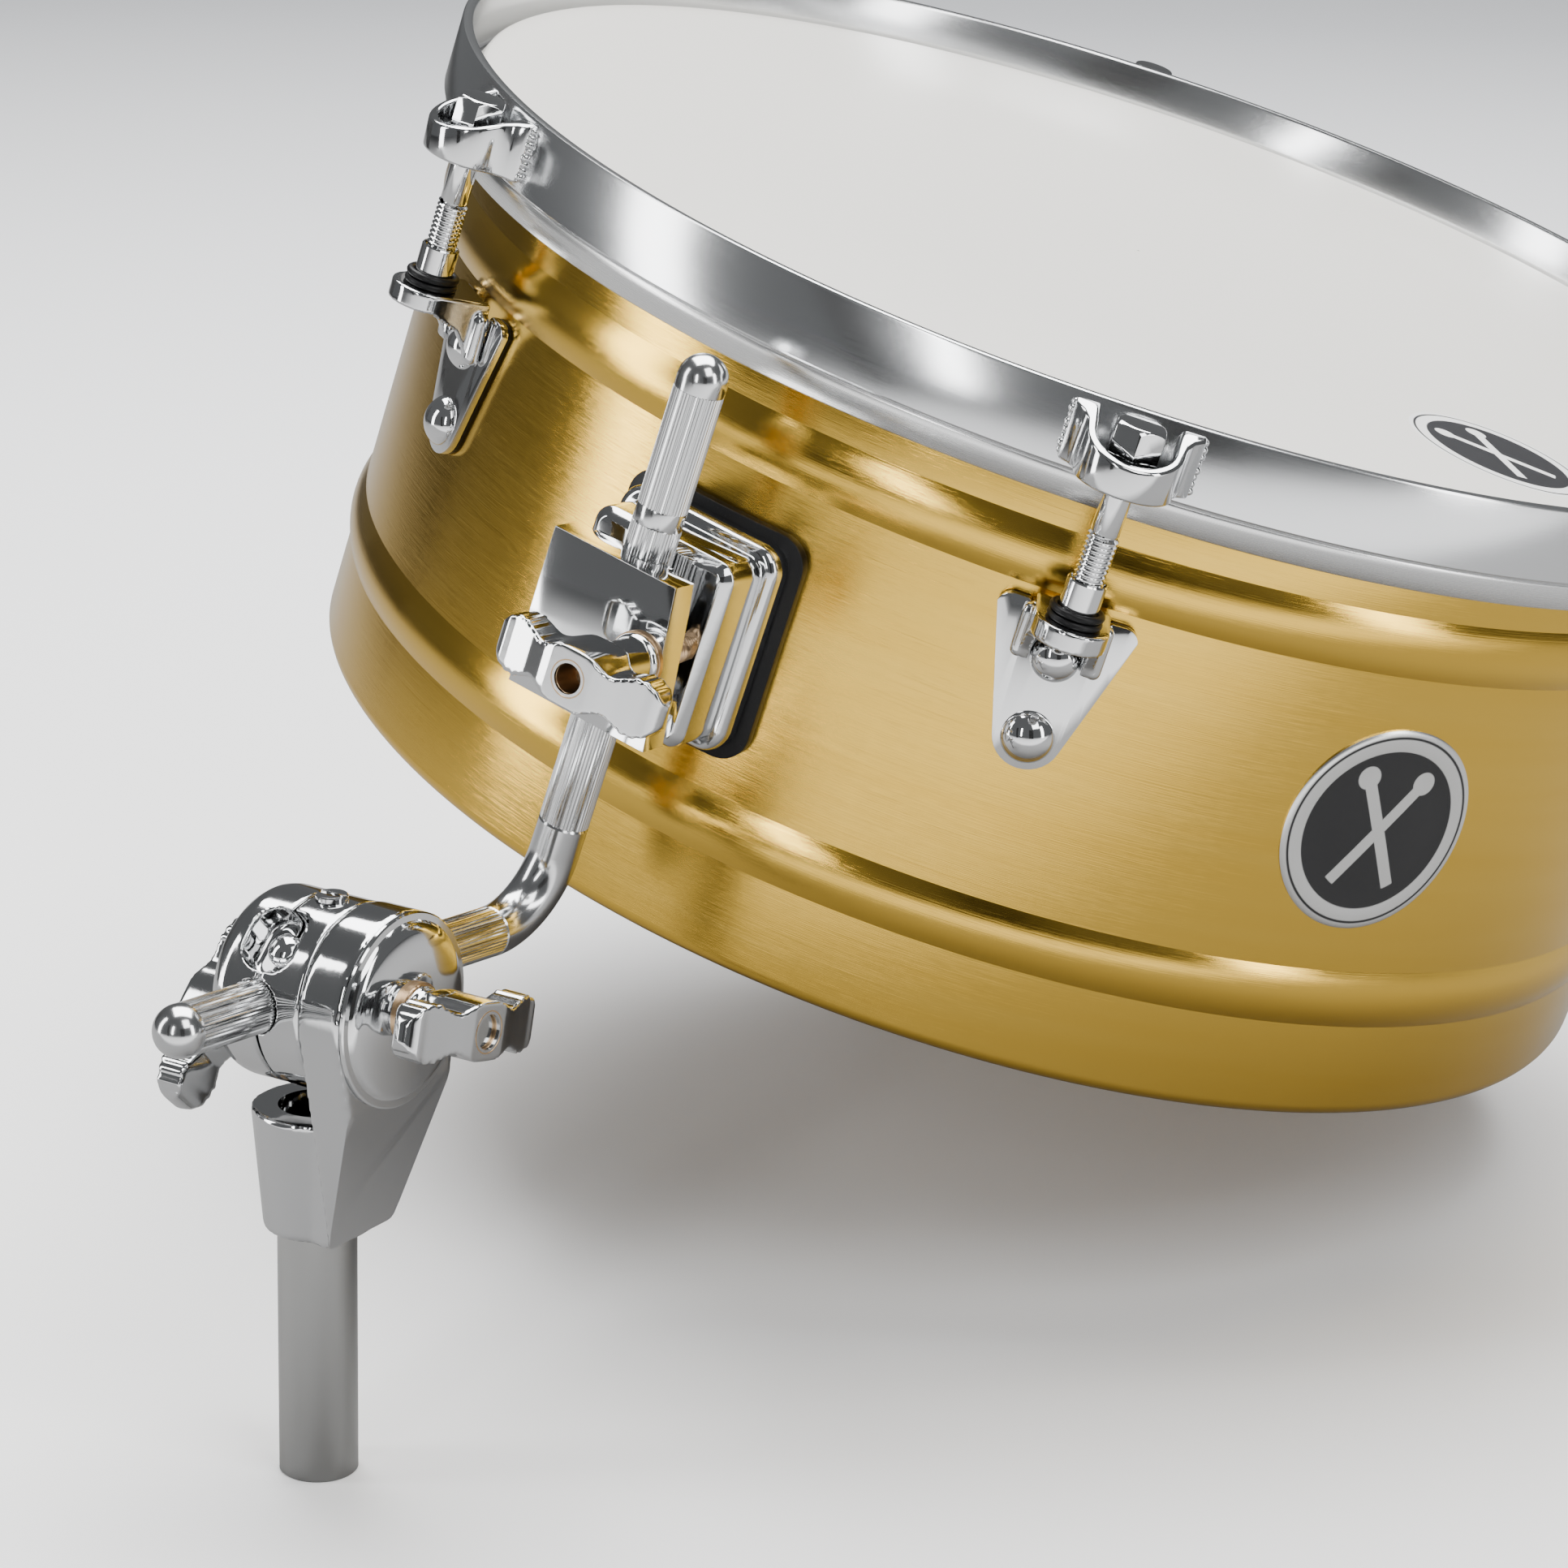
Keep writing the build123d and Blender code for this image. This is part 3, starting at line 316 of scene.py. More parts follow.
# %%
brushing, given, result = new_group(
    "Brushing",
    [("Height", F), ("Radius", F), ("Angle", F), ("Fineness", F)],
    [("Lines", F), ("Bands", F)],
)
circle_x = math_node(brushing, "COSINE", given.outputs["Angle"])
circle_y = math_node(brushing, "SINE", given.outputs["Angle"])
across = math_node(brushing, "ADD", given.outputs["Height"], given.outputs["Radius"])
fine = math_node(brushing, "MULTIPLY", across, given.outputs["Fineness"])
stretched = combine_node(brushing, circle_x, circle_y, fine)
feed(brushing, result, "Lines", noise_node(brushing, stretched, 3.0, 4.0, 0.7))
coarse = math_node(brushing, "MULTIPLY", fine, 0.06)
broad = combine_node(brushing, circle_x, circle_y, coarse)
feed(brushing, result, "Bands", noise_node(brushing, broad, 1.4, 2.0, 0.5))

handling, given, result = new_group(
    "Handling", [("Vector", V), ("Size", F)], [("Smears", F), ("Specks", F)]
)
smears = noise_node(handling, given.outputs["Vector"], given.outputs["Size"], 5.0, 0.6)
feed(handling, result, "Smears", smears)
specks = noise_node(
    handling, given.outputs["Vector"], math_node(handling, "MULTIPLY", given.outputs["Size"], 14.0)
)
feed(
    handling,
    result,
    "Specks",
    math_node(handling, "MULTIPLY", math_node(handling, "SUBTRACT", specks, 0.66, True), 6.0, True),
)
print("made", brushing.name, "and", handling.name)

# %% [markdown]
# The emblem is a set of ovals, with two crossed drumsticks in the middle. Each stick is the space
# between two parallel lines, cut off at its ends by a circle.

# %%


def inside(tree, value, limit, soft=0.012):
    gap = math_node(tree, "SUBTRACT", limit, value)
    return math_node(tree, "DIVIDE", gap, soft, True)


emblem, given, result = new_group(
    "Oval mark", [("Across", F), ("Up", F)], [("Rim", F), ("Line", F), ("Field", F), ("Mark", F)]
)
u, v = given.outputs["Across"], given.outputs["Up"]
rings = math_node(emblem, "MULTIPLY", u, u)
rings = math_node(emblem, "ADD", rings, math_node(emblem, "MULTIPLY", v, v))
rings = math_node(emblem, "SQRT", rings)
feed(emblem, result, "Rim", inside(emblem, rings, 1.0))
line = math_node(emblem, "SUBTRACT", rings, 0.93)
feed(emblem, result, "Line", inside(emblem, math_node(emblem, "ABSOLUTE", line), 0.02))
feed(emblem, result, "Field", inside(emblem, rings, 0.8))
marks = None
for lean in (0.62, -0.62):
    slope = math_node(emblem, "SUBTRACT", u, math_node(emblem, "MULTIPLY", v, lean))
    bar = inside(emblem, math_node(emblem, "ABSOLUTE", slope), 0.075)
    tip_x = math_node(emblem, "SUBTRACT", u, 0.5 * lean)
    tip_y = math_node(emblem, "SUBTRACT", v, 0.5)
    tip = math_node(emblem, "MULTIPLY", tip_x, tip_x)
    tip = math_node(emblem, "ADD", tip, math_node(emblem, "MULTIPLY", tip_y, tip_y))
    tip = inside(emblem, math_node(emblem, "SQRT", tip), 0.12)
    bar = math_node(emblem, "MULTIPLY", bar, inside(emblem, rings, 0.64))
    stick = math_node(emblem, "MAXIMUM", bar, tip)
    marks = stick if marks is None else math_node(emblem, "MAXIMUM", marks, stick)
feed(emblem, result, "Mark", marks)
print("made", emblem.name)

# %% [markdown]
# ## Materials
# `metal` makes a metal from a colour and a roughness, with faint smears. Its numbers sit on the
# shader's own sockets, and only the small variations are linked.

# %%


def start_material(name, colour, roughness, metallic=0.0):
    material = bpy.data.materials.new(name)
    material.use_nodes = True
    tree = material.node_tree
    shader = tree.nodes["Principled BSDF"]
    shader.inputs["Base Color"].default_value = (*colour, 1)
    shader.inputs["Roughness"].default_value = roughness
    shader.inputs["Metallic"].default_value = metallic
    coords = tree.nodes.new("ShaderNodeTexCoord").outputs["Object"]
    return material, tree, shader, coords


def use_group(tree, group, **values):
    node = tree.nodes.new("ShaderNodeGroup")
    node.node_tree = group
    for label, value in values.items():
        feed(tree, node, label, value)
    return node.outputs


def span(tree, value, low, high):
    node = tree.nodes.new("ShaderNodeMapRange")
    feed(tree, node, "Value", value)
    feed(tree, node, "To Min", low)
    feed(tree, node, "To Max", high)
    return node.outputs["Result"]


def mix_colours(tree, factor, first, second):
    node = tree.nodes.new("ShaderNodeMix")
    node.data_type = "RGBA"
    feed(tree, node, 0, factor)
    feed(tree, node, 6, first)
    feed(tree, node, 7, second)
    return node.outputs[2]


def bump(tree, shader, height, distance, strength=1.0):
    node = tree.nodes.new("ShaderNodeBump")
    feed(tree, node, "Height", height)
    feed(tree, node, "Distance", distance)
    feed(tree, node, "Strength", strength)
    tree.links.new(node.outputs["Normal"], shader.inputs["Normal"])


def metal(name, colour, roughness, smear=0.05, ripple=0.0):
    material, tree, shader, coords = start_material(name, colour, roughness, 1.0)
    marks = use_group(tree, handling, Vector=coords, Size=38.0)
    varied = span(tree, marks["Smears"], roughness, roughness + smear)
    tree.links.new(varied, shader.inputs["Roughness"])
    if ripple:
        bump(tree, shader, marks["Smears"], ripple)
    return material


chrome = metal("Polished chrome", (0.72, 0.725, 0.73), 0.04, 0.045)
cast_chrome = metal("Chrome on a casting", (0.62, 0.625, 0.63), 0.05, 0.05, 0.00008)
rod_chrome = metal("Knurled chrome", (0.62, 0.625, 0.63), 0.11, 0.08)
zinc = metal("Zinc plate", (0.62, 0.62, 0.61), 0.3, 0.12)
dark_steel = metal("Hardened steel", (0.2, 0.2, 0.21), 0.38, 0.1)
raw_brass = metal("Raw brass", (0.62, 0.42, 0.24), 0.26, 0.1)
tube_chrome = metal("Tube chrome", (0.52, 0.52, 0.51), 0.12, 0.05)
rubber, tree, shader, coords = start_material("Black rubber", (0.004, 0.004, 0.0045), 0.42)
shader.inputs["Specular IOR Level"].default_value = 0.25
marks = use_group(tree, handling, Vector=coords, Size=160.0)
bump(tree, shader, marks["Specks"], 0.0001)
bore_dark, tree, shader, coords = start_material("Bore shadow", (0.01, 0.01, 0.01), 0.7)
print(len(bpy.data.materials), "materials so far")

# %% [markdown]
# The shell, the hoops and the head share the `Round the drum` coordinates, so their brushing runs
# round the drum whatever way it leans.

# %%


def brushed(name, colour, low, high, fineness, depth, stretch, tint=None):
    material, tree, shader, coords = start_material(name, colour, low, 1.0)
    places = use_group(tree, round_drum, Vector=coords)
    lines = use_group(
        tree,
        brushing,
        Height=places["Height"],
        Radius=places["Radius"],
        Angle=places["Angle"],
        Fineness=fineness,
    )
    tree.links.new(span(tree, lines["Lines"], low, high), shader.inputs["Roughness"])
    if tint:
        tinted = mix_colours(tree, lines["Bands"], (*colour, 1), (*tint, 1))
        tree.links.new(tinted, shader.inputs["Base Color"])
    shader.inputs["Anisotropic"].default_value = stretch
    bump(tree, shader, lines["Lines"], depth)
    return material


shell_brass = brushed(
    "Brushed brass", (0.7, 0.43, 0.06), 0.09, 0.2, 1500.0, 0.00003, 0.0, (0.77, 0.5, 0.09)
)
hoop_chrome = brushed("Brushed chrome", (0.74, 0.75, 0.76), 0.12, 0.22, 2200.0, 0.000006, 0.0)
ring_metal = brushed("Satin aluminium", (0.8, 0.8, 0.8), 0.2, 0.34, 1800.0, 0.000008, 0.0)
print("brushed materials made")

# %% [markdown]
# ## Shell
# The profile runs down the outside, over two convex beads and round the rolled end, and comes back
# up the inside at one wall's distance.

# %%
SHELL_R, SHELL_WALL, SHELL_TOP, SHELL_BOTTOM = 187.8, 1.5, -11.2, -178.0


def bead(height, swell=2.0, half=8.0, steps=10):
    points = []
    for step in range(steps + 1):
        t = -1 + 2 * step / steps
        points.append((SHELL_R + swell * (1 - t * t), height - half * t * -1))
    return points[::-1]


outer = [(SHELL_R - 1.0, SHELL_TOP), (SHELL_R - 0.3, SHELL_TOP - 0.3), (SHELL_R, SHELL_TOP - 1.0)]
outer += bead(-44.5) + bead(-142.5)
outer += arc(SHELL_R - 4, SHELL_BOTTOM + 4, 4, 0, -90, 8)
outer += [(SHELL_R - 6.6, SHELL_BOTTOM), (SHELL_R - 7, SHELL_BOTTOM + 0.4)]
inner = [(SHELL_R - 7, SHELL_BOTTOM + 1.2), (SHELL_R - 6.6, SHELL_BOTTOM + SHELL_WALL)]
inner += arc(SHELL_R - 4, SHELL_BOTTOM + 4, 4 - SHELL_WALL, -90, 0, 6)
inner += [(r - SHELL_WALL, z) for r, z in (bead(-142.5)[::-1] + bead(-44.5)[::-1])]
inner += [(SHELL_R - SHELL_WALL, SHELL_TOP - 0.4), (SHELL_R - SHELL_WALL + 0.3, SHELL_TOP)]
shell = ring_walk("shell_skin", outer + inner + [outer[0]], 256, closed=True)
soften(seat(shell, DRUM), angle=24)
hand_over(shell, "drum", shell_brass, "shell")

# %% [markdown]
# ## Head and hoops
# The film lies flat on the bearing edge, turns down over it and goes into the slot of the flesh
# hoop. The counter hoop is a flat band with small rounded edges that pulls the flesh hoop down.

# %%
film_profile = [
    (0.4, -10.8),
    (90.0, -10.8),
    (186.6, -10.8),
    (187.8, -10.95),
    (188.5, -11.4),
    (190.9, -16.4),
    (191.3, -17.6),
    (191.4, -18.6),
    (191.4, -24.4),
    (191.0, -24.4),
    (191.0, -18.6),
    (190.6, -17.4),
    (188.1, -11.7),
    (187.4, -11.2),
    (90.0, -11.2),
    (0.4, -11.2),
]
head = ring_walk("head_film", film_profile + [film_profile[0]], 256, closed=True)
soften(seat(head, DRUM), angle=24)

hoop_profile = [(193.9, -0.9), (194.3, -0.2), (195.0, 0), (196.2, 0), (196.8, -0.2), (197.1, -0.8)]
hoop_profile += [(197.1, -18.9), (196.8, -19.4), (196.3, -19.6), (194.5, -19.6), (193.9, -19.1)]
hoop = ring_walk("counter_hoop_band", hoop_profile + [hoop_profile[0]], 256, closed=True)
soften(seat(hoop, DRUM), angle=30)
hand_over(hoop, "drum", hoop_chrome, "counter_hoop")

flesh_profile = [(190.0, -19.8), (191.0, -19.65), (191.0, -24.6), (191.4, -24.6), (191.4, -19.65)]
flesh_profile += [(194.9, -19.65)] + arc(194.7, -20.9, 1.2, 70, 0, 4)
flesh_profile += [(195.8, -22.2), (193.9, -27.2), (193.4, -27.7), (190.4, -27.7), (190.0, -27.3)]
flesh = ring_walk("flesh_hoop_ring", flesh_profile + [flesh_profile[0]], 256, closed=True)
soften(seat(flesh, DRUM), angle=40)
hand_over(flesh, "drum", ring_metal, "flesh_hoop")

# %% [markdown]
# The head's material is a milky film that lets a little light through. Its printed emblem sits
# near the edge, on the far side from the bracket.

# %%
film, tree, shader, coords = start_material("Milky film", (0.80, 0.78, 0.73), 0.3)
places = use_group(tree, round_drum, Vector=coords)
MARK_ANGLE, MARK_RADIUS = math.radians(75.0), 0.135
turned = math_node(tree, "SUBTRACT", places["Angle"], MARK_ANGLE)
side = math_node(tree, "MULTIPLY", places["Radius"], math_node(tree, "SINE", turned))
reach = math_node(tree, "MULTIPLY", places["Radius"], math_node(tree, "COSINE", turned))
reach = math_node(tree, "SUBTRACT", reach, MARK_RADIUS)
oval = use_group(
    tree,
    emblem,
    Across=math_node(tree, "DIVIDE", side, 0.0215),
    Up=math_node(tree, "DIVIDE", reach, -0.0265),
)
ink = math_node(tree, "MAXIMUM", oval["Line"], oval["Field"])
ink = math_node(tree, "SUBTRACT", ink, oval["Mark"], True)
white = mix_colours(tree, oval["Rim"], (0.80, 0.78, 0.73, 1), (0.86, 0.86, 0.84, 1))
printed = mix_colours(tree, ink, white, (0.02, 0.02, 0.022, 1))
tree.links.new(printed, shader.inputs["Base Color"])
shader.inputs["Subsurface Weight"].default_value = 0.15
shader.inputs["Subsurface Radius"].default_value = (0.002, 0.002, 0.0018)
shader.inputs["Coat Weight"].default_value = 0.25
shader.inputs["Coat Roughness"].default_value = 0.16
grain = noise_node(tree, coords, 2600.0, 2.0)
bump(tree, shader, grain, 0.00001)
hand_over(head, "drum", film, "drum_head")

# %% [markdown]
# ## Badge
# A thin oval plate is bent round the shell: a grid of rings is made flat and every point is then
# wrapped on to the cylinder. The emblem material uses the same oval group as the head.

# %%
BADGE_ANGLE, BADGE_HEIGHT, BADGE_HALF_X, BADGE_HALF_Z = 57.5, -94.0, 27.0, 28.0
rings = [(0.4, 0.62), (8, 0.62), (15, 0.6), (21.4, 0.6), (22.0, 0.72), (25.4, 0.8), (26.5, 0.72)]
rings += [(27.0, 0.4), (27.0, -0.4)]
plate = ring_walk("badge_plate", rings, 96)
for vertex in plate.data.vertices:
    x, y, z = vertex.co
    y *= BADGE_HALF_Z / BADGE_HALF_X
    turn = x / SHELL_R
    radius = SHELL_R + z
    vertex.co = (radius * math.sin(turn), y, radius * math.cos(turn))
seat(plate, on_drum(BADGE_ANGLE, 0, BADGE_HEIGHT, looks_out=True))
soften(plate, angle=50)

badge_look, tree, shader, coords = start_material("Stamped badge", (0.75, 0.75, 0.74), 0.24, 1.0)
places = use_group(tree, round_drum, Vector=coords)
turned = math_node(tree, "SUBTRACT", places["Angle"], math.radians(BADGE_ANGLE))
side = math_node(tree, "MULTIPLY", turned, SHELL_R / BADGE_HALF_X)
rise = math_node(tree, "SUBTRACT", places["Height"], BADGE_HEIGHT * metres)
rise = math_node(tree, "DIVIDE", rise, BADGE_HALF_Z * metres)
oval = use_group(tree, emblem, Across=side, Up=rise)
ink = math_node(tree, "SUBTRACT", oval["Field"], oval["Mark"], True)
ink = math_node(tree, "MAXIMUM", ink, oval["Line"])
colour = mix_colours(tree, ink, (0.75, 0.75, 0.74, 1), (0.012, 0.012, 0.013, 1))
tree.links.new(colour, shader.inputs["Base Color"])
tree.links.new(math_node(tree, "SUBTRACT", 1.0, ink), shader.inputs["Metallic"])
hand_over(plate, "drum", badge_look, "badge")

# %% [markdown]
# ## Helpers for bent plates, threads and castings
# `wrap` bends a flat plate round the shell after cutting it into strips. `thread` turns a small
# tooth with the screw modifier. `cast` melts joined blocks into one smooth casting.

# %%
LUGS = [on_drum(angle, 205.0, 0) for angle in LUG_ANGLES]
LUG_FACES = [on_drum(angle, 0, 0, looks_out=True) for angle in LUG_ANGLES]


def strips(obj, places, direction=(1, 0, 0)):
    pick(obj)
    bpy.ops.object.mode_set(mode="EDIT")
    for place in places:
        bpy.ops.mesh.select_all(action="SELECT")
        bpy.ops.mesh.bisect(plane_co=Vector(direction) * place, plane_no=direction)
    bpy.ops.object.mode_set(mode="OBJECT")
    return obj


def wrap(obj, radius):
    for vertex in obj.data.vertices:
        x, y, z = vertex.co
        turn = x / radius
        vertex.co = ((radius + z) * math.sin(turn), y, (radius + z) * math.cos(turn))
    return obj


def thread(name, root, crest, pitch, turns, start):
    bpy.ops.object.select_all(action="DESELECT")
    bpy.ops.mesh.primitive_circle_add(vertices=4, radius=1)
    obj = bpy.context.object
    obj.name = name
    tooth = [(root, 0.0), (crest, 0.36), (crest, 0.58), (root, 0.94)]
    for vertex, (r, share) in zip(obj.data.vertices, tooth):
        vertex.co = (r, 0, start + pitch * share)
    modify(obj, "SCREW", axis="Z", screw_offset=pitch, iterations=turns, steps=32)
    pick(obj)
    bpy.ops.object.shade_smooth_by_angle(angle=math.radians(40))
    return obj


def cast(name, blocks, voxel, rounds):
    obj = join(name, blocks)
    modify(obj, "REMESH", mode="VOXEL", voxel_size=voxel)
    modify(obj, "SMOOTH", factor=0.5, iterations=rounds)
    pick(obj)
    bpy.ops.object.shade_smooth()
    return obj


def block(low, high):
    middle = [(a + b) / 2 for a, b in zip(low, high)]
    size = [b - a for a, b in zip(low, high)]
    bpy.ops.object.select_all(action="DESELECT")
    bpy.ops.mesh.primitive_cube_add(size=1, location=middle, scale=size)
    bpy.ops.object.transform_apply(location=True, rotation=True, scale=True)
    return bpy.context.object


def rod(start, end, radius, vertices=48):
    start, end = Vector(start), Vector(end)
    turn = (end - start).to_track_quat("Z", "Y").to_euler()
    bpy.ops.object.select_all(action="DESELECT")
    bpy.ops.mesh.primitive_cylinder_add(
        vertices=vertices,
        radius=radius,
        depth=(end - start).length,
        location=(start + end) / 2,
        rotation=turn,
    )
    bpy.ops.object.transform_apply(location=True, rotation=True, scale=True)
    return bpy.context.object


def ball(place, radius, squash=(1, 1, 1)):
    bpy.ops.object.select_all(action="DESELECT")
    bpy.ops.mesh.primitive_uv_sphere_add(
        segments=24, ring_count=12, radius=radius, location=place, scale=squash
    )
    bpy.ops.object.transform_apply(location=True, rotation=True, scale=True)
    return bpy.context.object


print("six lug frames ready")

# %% [markdown]
# ## Ears on the counter hoop
# Each ear is a strap bent into a U, with flared ends that are welded to the hoop. The rim falls
# towards the front, and a floor with a hole carries the tension rod's head.


# %%
def ear_outline():
    outer = [(-8.4, -16.4), (-6.2, -16.0), (-4.6, -13.8), (-2.0, -12.4)]
    outer += arc(0, 0, 12.2, -90, 90, 20)
    outer += [(-2.0, 12.4), (-4.6, 13.8), (-6.2, 16.0), (-8.4, 16.4)]
    inner = [(-8.4, 10.2)] + arc(0, 0, 9.9, 90, -90, 18) + [(-8.4, -10.2)]
    return outer + inner


ear = prism("ear", ear_outline(), -17.2, -1.4)
for vertex in ear.data.vertices:
    x, y, z = vertex.co
    if z > -2:
        vertex.co.z = -1.4 - 7.8 * max(0.0, x + 8.4) / 20.6
    elif abs(y) < 12.5:
        vertex.co.x -= 0.6 * max(0.0, x) / 12.2
soften(ear, 0.75, 3, 50)
seat_ring = [(4.4, -17.0), (10.4, -17.0), (10.4, -14.8), (4.4, -14.8), (4.4, -17.0)]
seat_floor = soften(ring_walk("seat", seat_ring, 64, closed=True), 0.2, 2)
shelf = soften(block((-8.3, -10.2, -17.0), (-4.6, 10.2, -14.8)), 0.2, 2)
beads = []
for edge in (-1, 1):
    for step in range(8):
        wobble = 0.22 * math.sin(step * 2.4 + edge)
        place = (-8.3 + wobble, edge * (15.9 + 0.4 * wobble), -15.4 + 1.75 * step)
        beads.append(ball(place, 1.25 + wobble * 0.5, (1.0, 1.0, 0.92)))
weld = join("weld", beads)
soften(weld)
ears = repeat("hoop_ear_set", join("one_ear", [ear, seat_floor, shelf, weld]), LUGS)
hand_over(ears, "drum", cast_chrome, "hoop_ears")

# %% [markdown]
# ## Lug plates with their painted shade sheets and screws
# The outline has rounded shoulders, a notch at the top and a round foot. The plate and the thin
# black sheet under it are both bent to the shell; the sheet is painted shade, the dark line between plate and
# shell.


# %%
def plate_outline(grow=0.0):
    points = arc(13.9, -58.9, 3.8 + grow, 90, 12, 6) + arc(0, -89.0, 8.6 + grow, -14, -166, 14)
    points += arc(-13.9, -58.9, 3.8 + grow, 168, 90, 6)
    points += [(-10.4, -55.1 + grow), (-9.4, -56.2 + grow), (-9.0, -63.0 + grow)]
    points += [(9.0, -63.0 + grow), (9.4, -56.2 + grow), (10.4, -55.1 + grow)]
    return points


plate = prism("plate", plate_outline(), 0.9, 2.9)
strips(plate, [-14, -10.5, -7, -3.5, 0, 3.5, 7, 10.5, 14])
wrap(plate, SHELL_R)
soften(plate, 0.45, 2, 40)
plates = repeat("lug_plate_set", plate, LUG_FACES)
hand_over(plates, "drum", chrome, "lug_plates")
# Painted shade: a black rubber sheet a little smaller than the plate fills the gap under it and shows as the
# dark line between plate and shell.
shade_sheet = prism("shade_sheet", plate_outline(-0.15), -0.3, 0.9)
strips(shade_sheet, [-14, -7, 0, 7, 14])
shade_sheets = repeat("lug_shade_sheet_set", wrap(shade_sheet, SHELL_R), LUG_FACES)
hand_over(shade_sheets, "drum", rubber)


def dome_screw(name, height, radius, tall):
    base = SHELL_R + 2.9
    top = (tall * tall + radius * radius) / (2 * tall)
    edge = math.degrees(math.asin(radius / top))
    profile = [(radius - 0.25, base - 0.6), (radius, base), (radius, base + 0.5)]
    for step in range(12):
        turn = math.radians(edge * (1 - (step + 1) / 12.2))
        rise = top * math.cos(turn) - (top - tall)
        profile.append((max(0.2, top * math.sin(turn)), base + 0.5 + rise))
    screw = ring_walk(name, profile, 64)
    screw.data.transform(Matrix.Translation((0, height, 0)))
    return soften(screw, angle=40)


lower = repeat("lug_lower_dome_set", dome_screw("low", -89.0, 6.7, 4.2), LUG_FACES)
hand_over(lower, "drum", chrome, "lug_lower_screws")
upper = repeat("lug_upper_dome_set", dome_screw("high", -67.4, 6.3, 4.0), LUG_FACES)
hand_over(upper, "drum", chrome, "lug_upper_screws")

# %% [markdown]
# ## Lug eyes
# A lip, a top, two gussets and two feet are joined and melted into one casting. The barrel and its
# two rubber rings stand in the eye.

# %%
lip_outline = arc(0.6, 0, 9.3, -90, 90, 20) + [(-13.8, 9.3), (-13.8, -9.3)]
eye_top = prism("eye_top", lip_outline, -55.6, -52.5)
rim_outline = arc(0.6, 0, 9.3, -90, 90, 20) + [(-3, 9.3), (-3, 6.4)]
rim_outline += arc(0.6, 0, 6.4, 90, -90, 16) + [(-3, -6.4), (-3, -9.3)]
eye_rim = prism("eye_rim", rim_outline, -57.6, -53.0)
cheek_side = [(-14.0, -52.8), (2.0, -52.8), (2.0, -57.4), (-6.4, -61.0), (-10.0, -66.0)]
cheek_side += [(-11.2, -69.0), (-14.0, -69.0)]
blocks = [eye_top, eye_rim]
upright = make_frame((0, 0, 0), (0, -1, 0), (1, 0, 0))
for edge in (-1, 1):
    gusset = prism("gusset", cheek_side, edge * 8.0 - 1.3, edge * 8.0 + 1.3)
    gusset.data.transform(upright)
    blocks.append(gusset)
    blocks.append(rod((-12.4, edge * 9.6, -67.4), (-12.4, edge * 9.6, -57.0), 2.0, 20))
    blocks.append(ball((-12.4, edge * 9.6, -67.4), 2.0))
    blocks.append(ball((-12.4, edge * 9.6, -57.0), 2.0))
eye = cast("eye", blocks, 0.42, 5)
eyes = repeat("lug_eye_set", eye, LUGS)
hand_over(eyes, "drum", cast_chrome, "lug_eyes")

barrel_profile = [(4.05, -42.4), (4.3, -41.6), (4.7, -41.6), (4.95, -42.0), (4.95, -53.5)]
barrel_profile += [(4.05, -53.5), (4.05, -42.4)]
barrel = soften(ring_walk("barrel", barrel_profile, 64, closed=True), angle=30)
foot = [(4.05, -55.7), (6.6, -55.7), (6.6, -58.1), (4.05, -58.1), (4.05, -55.7)]
foot = soften(ring_walk("foot", foot, 48, closed=True), 0.3, 2)
barrels = repeat("barrel_set", join("barrel_one", [barrel, foot]), LUGS)
hand_over(barrels, "drum", chrome, "barrel_nuts")
tori = []
for level in (-51.6, -49.6):
    bpy.ops.mesh.primitive_torus_add(
        location=(0, 0, level), major_radius=6.0, minor_radius=0.98, major_segments=64
    )
    tori.append(soften(bpy.context.object, angle=80))
rings = repeat("o_ring_set", join("ring_pair", tori), LUGS)
hand_over(rings, "drum", rubber, "o_rings")

# %% [markdown]
# ## Tension rods
# Each rod turns by itself, so each is a piece of its own: a domed hex head, a plain shank and a
# real helical thread.

# %%
hexagon = [(6.93 * math.cos(math.radians(a)), 6.93 * math.sin(math.radians(a))) for a in range(0, 360, 60)]
for number, place in enumerate(LUGS, start=1):
    head_block = prism("head", hexagon, -13.5, -1.0)
    crown = ring_walk("crown", [(9.5, -9.0), (9.5, -4.9), (5.9, -1.2), (5.0, -0.6), (0.3, 0.3)], 64)
    cut(head_block, crown, "INTERSECT")
    base = ring_walk("base", [(6.2, -13.5), (6.2, -8.8), (0.3, -8.8)], 48)
    soften(head_block, 0.25, 2, 20)
    shank_profile = [(3.6, -13.6), (3.6, -28.9), (3.1, -29.8), (3.45, -30.2), (3.45, -46.0)]
    shank = soften(ring_walk("shank", shank_profile, 40), angle=30)
    helix = thread("helix", 3.4, 3.96, 1.27, 12, -45.4)
    piece = join(f"tension_rod_turned_{number}", [head_block, base, shank, helix])
    seat(piece, place)
    hand_over(piece, f"tension_{number}", chrome, f"tension_rod_{number}")

# %% [markdown]
# ## Bracket on the shell
# A rubber gasket is bent to the shell. The base has two bevelled tiers with a V-groove for the rod,
# and the clamp plate closes over it.

# %%
BRACKET = on_drum(0, 0, BRACKET_HEIGHT, looks_out=True)


def rounded_square(width, length, radius, steps=8):
    points = []
    for sign_x, sign_y, start in ((1, 1, 0), (-1, 1, 90), (-1, -1, 180), (1, -1, 270)):
        x, y = sign_x * (width / 2 - radius), sign_y * (length / 2 - radius)
        points += arc(x, y, radius, start, start + 90, steps)
    return points


gasket = prism("gasket", rounded_square(53, 61, 8), -0.2, 3.0)
strips(gasket, [-24, -18, -12, -6, 0, 6, 12, 18, 24])
wrap(gasket, SHELL_R)
soften(gasket, 0.8, 3, 40)
hand_over(seat(gasket, BRACKET), "drum", rubber, "mount_gasket")

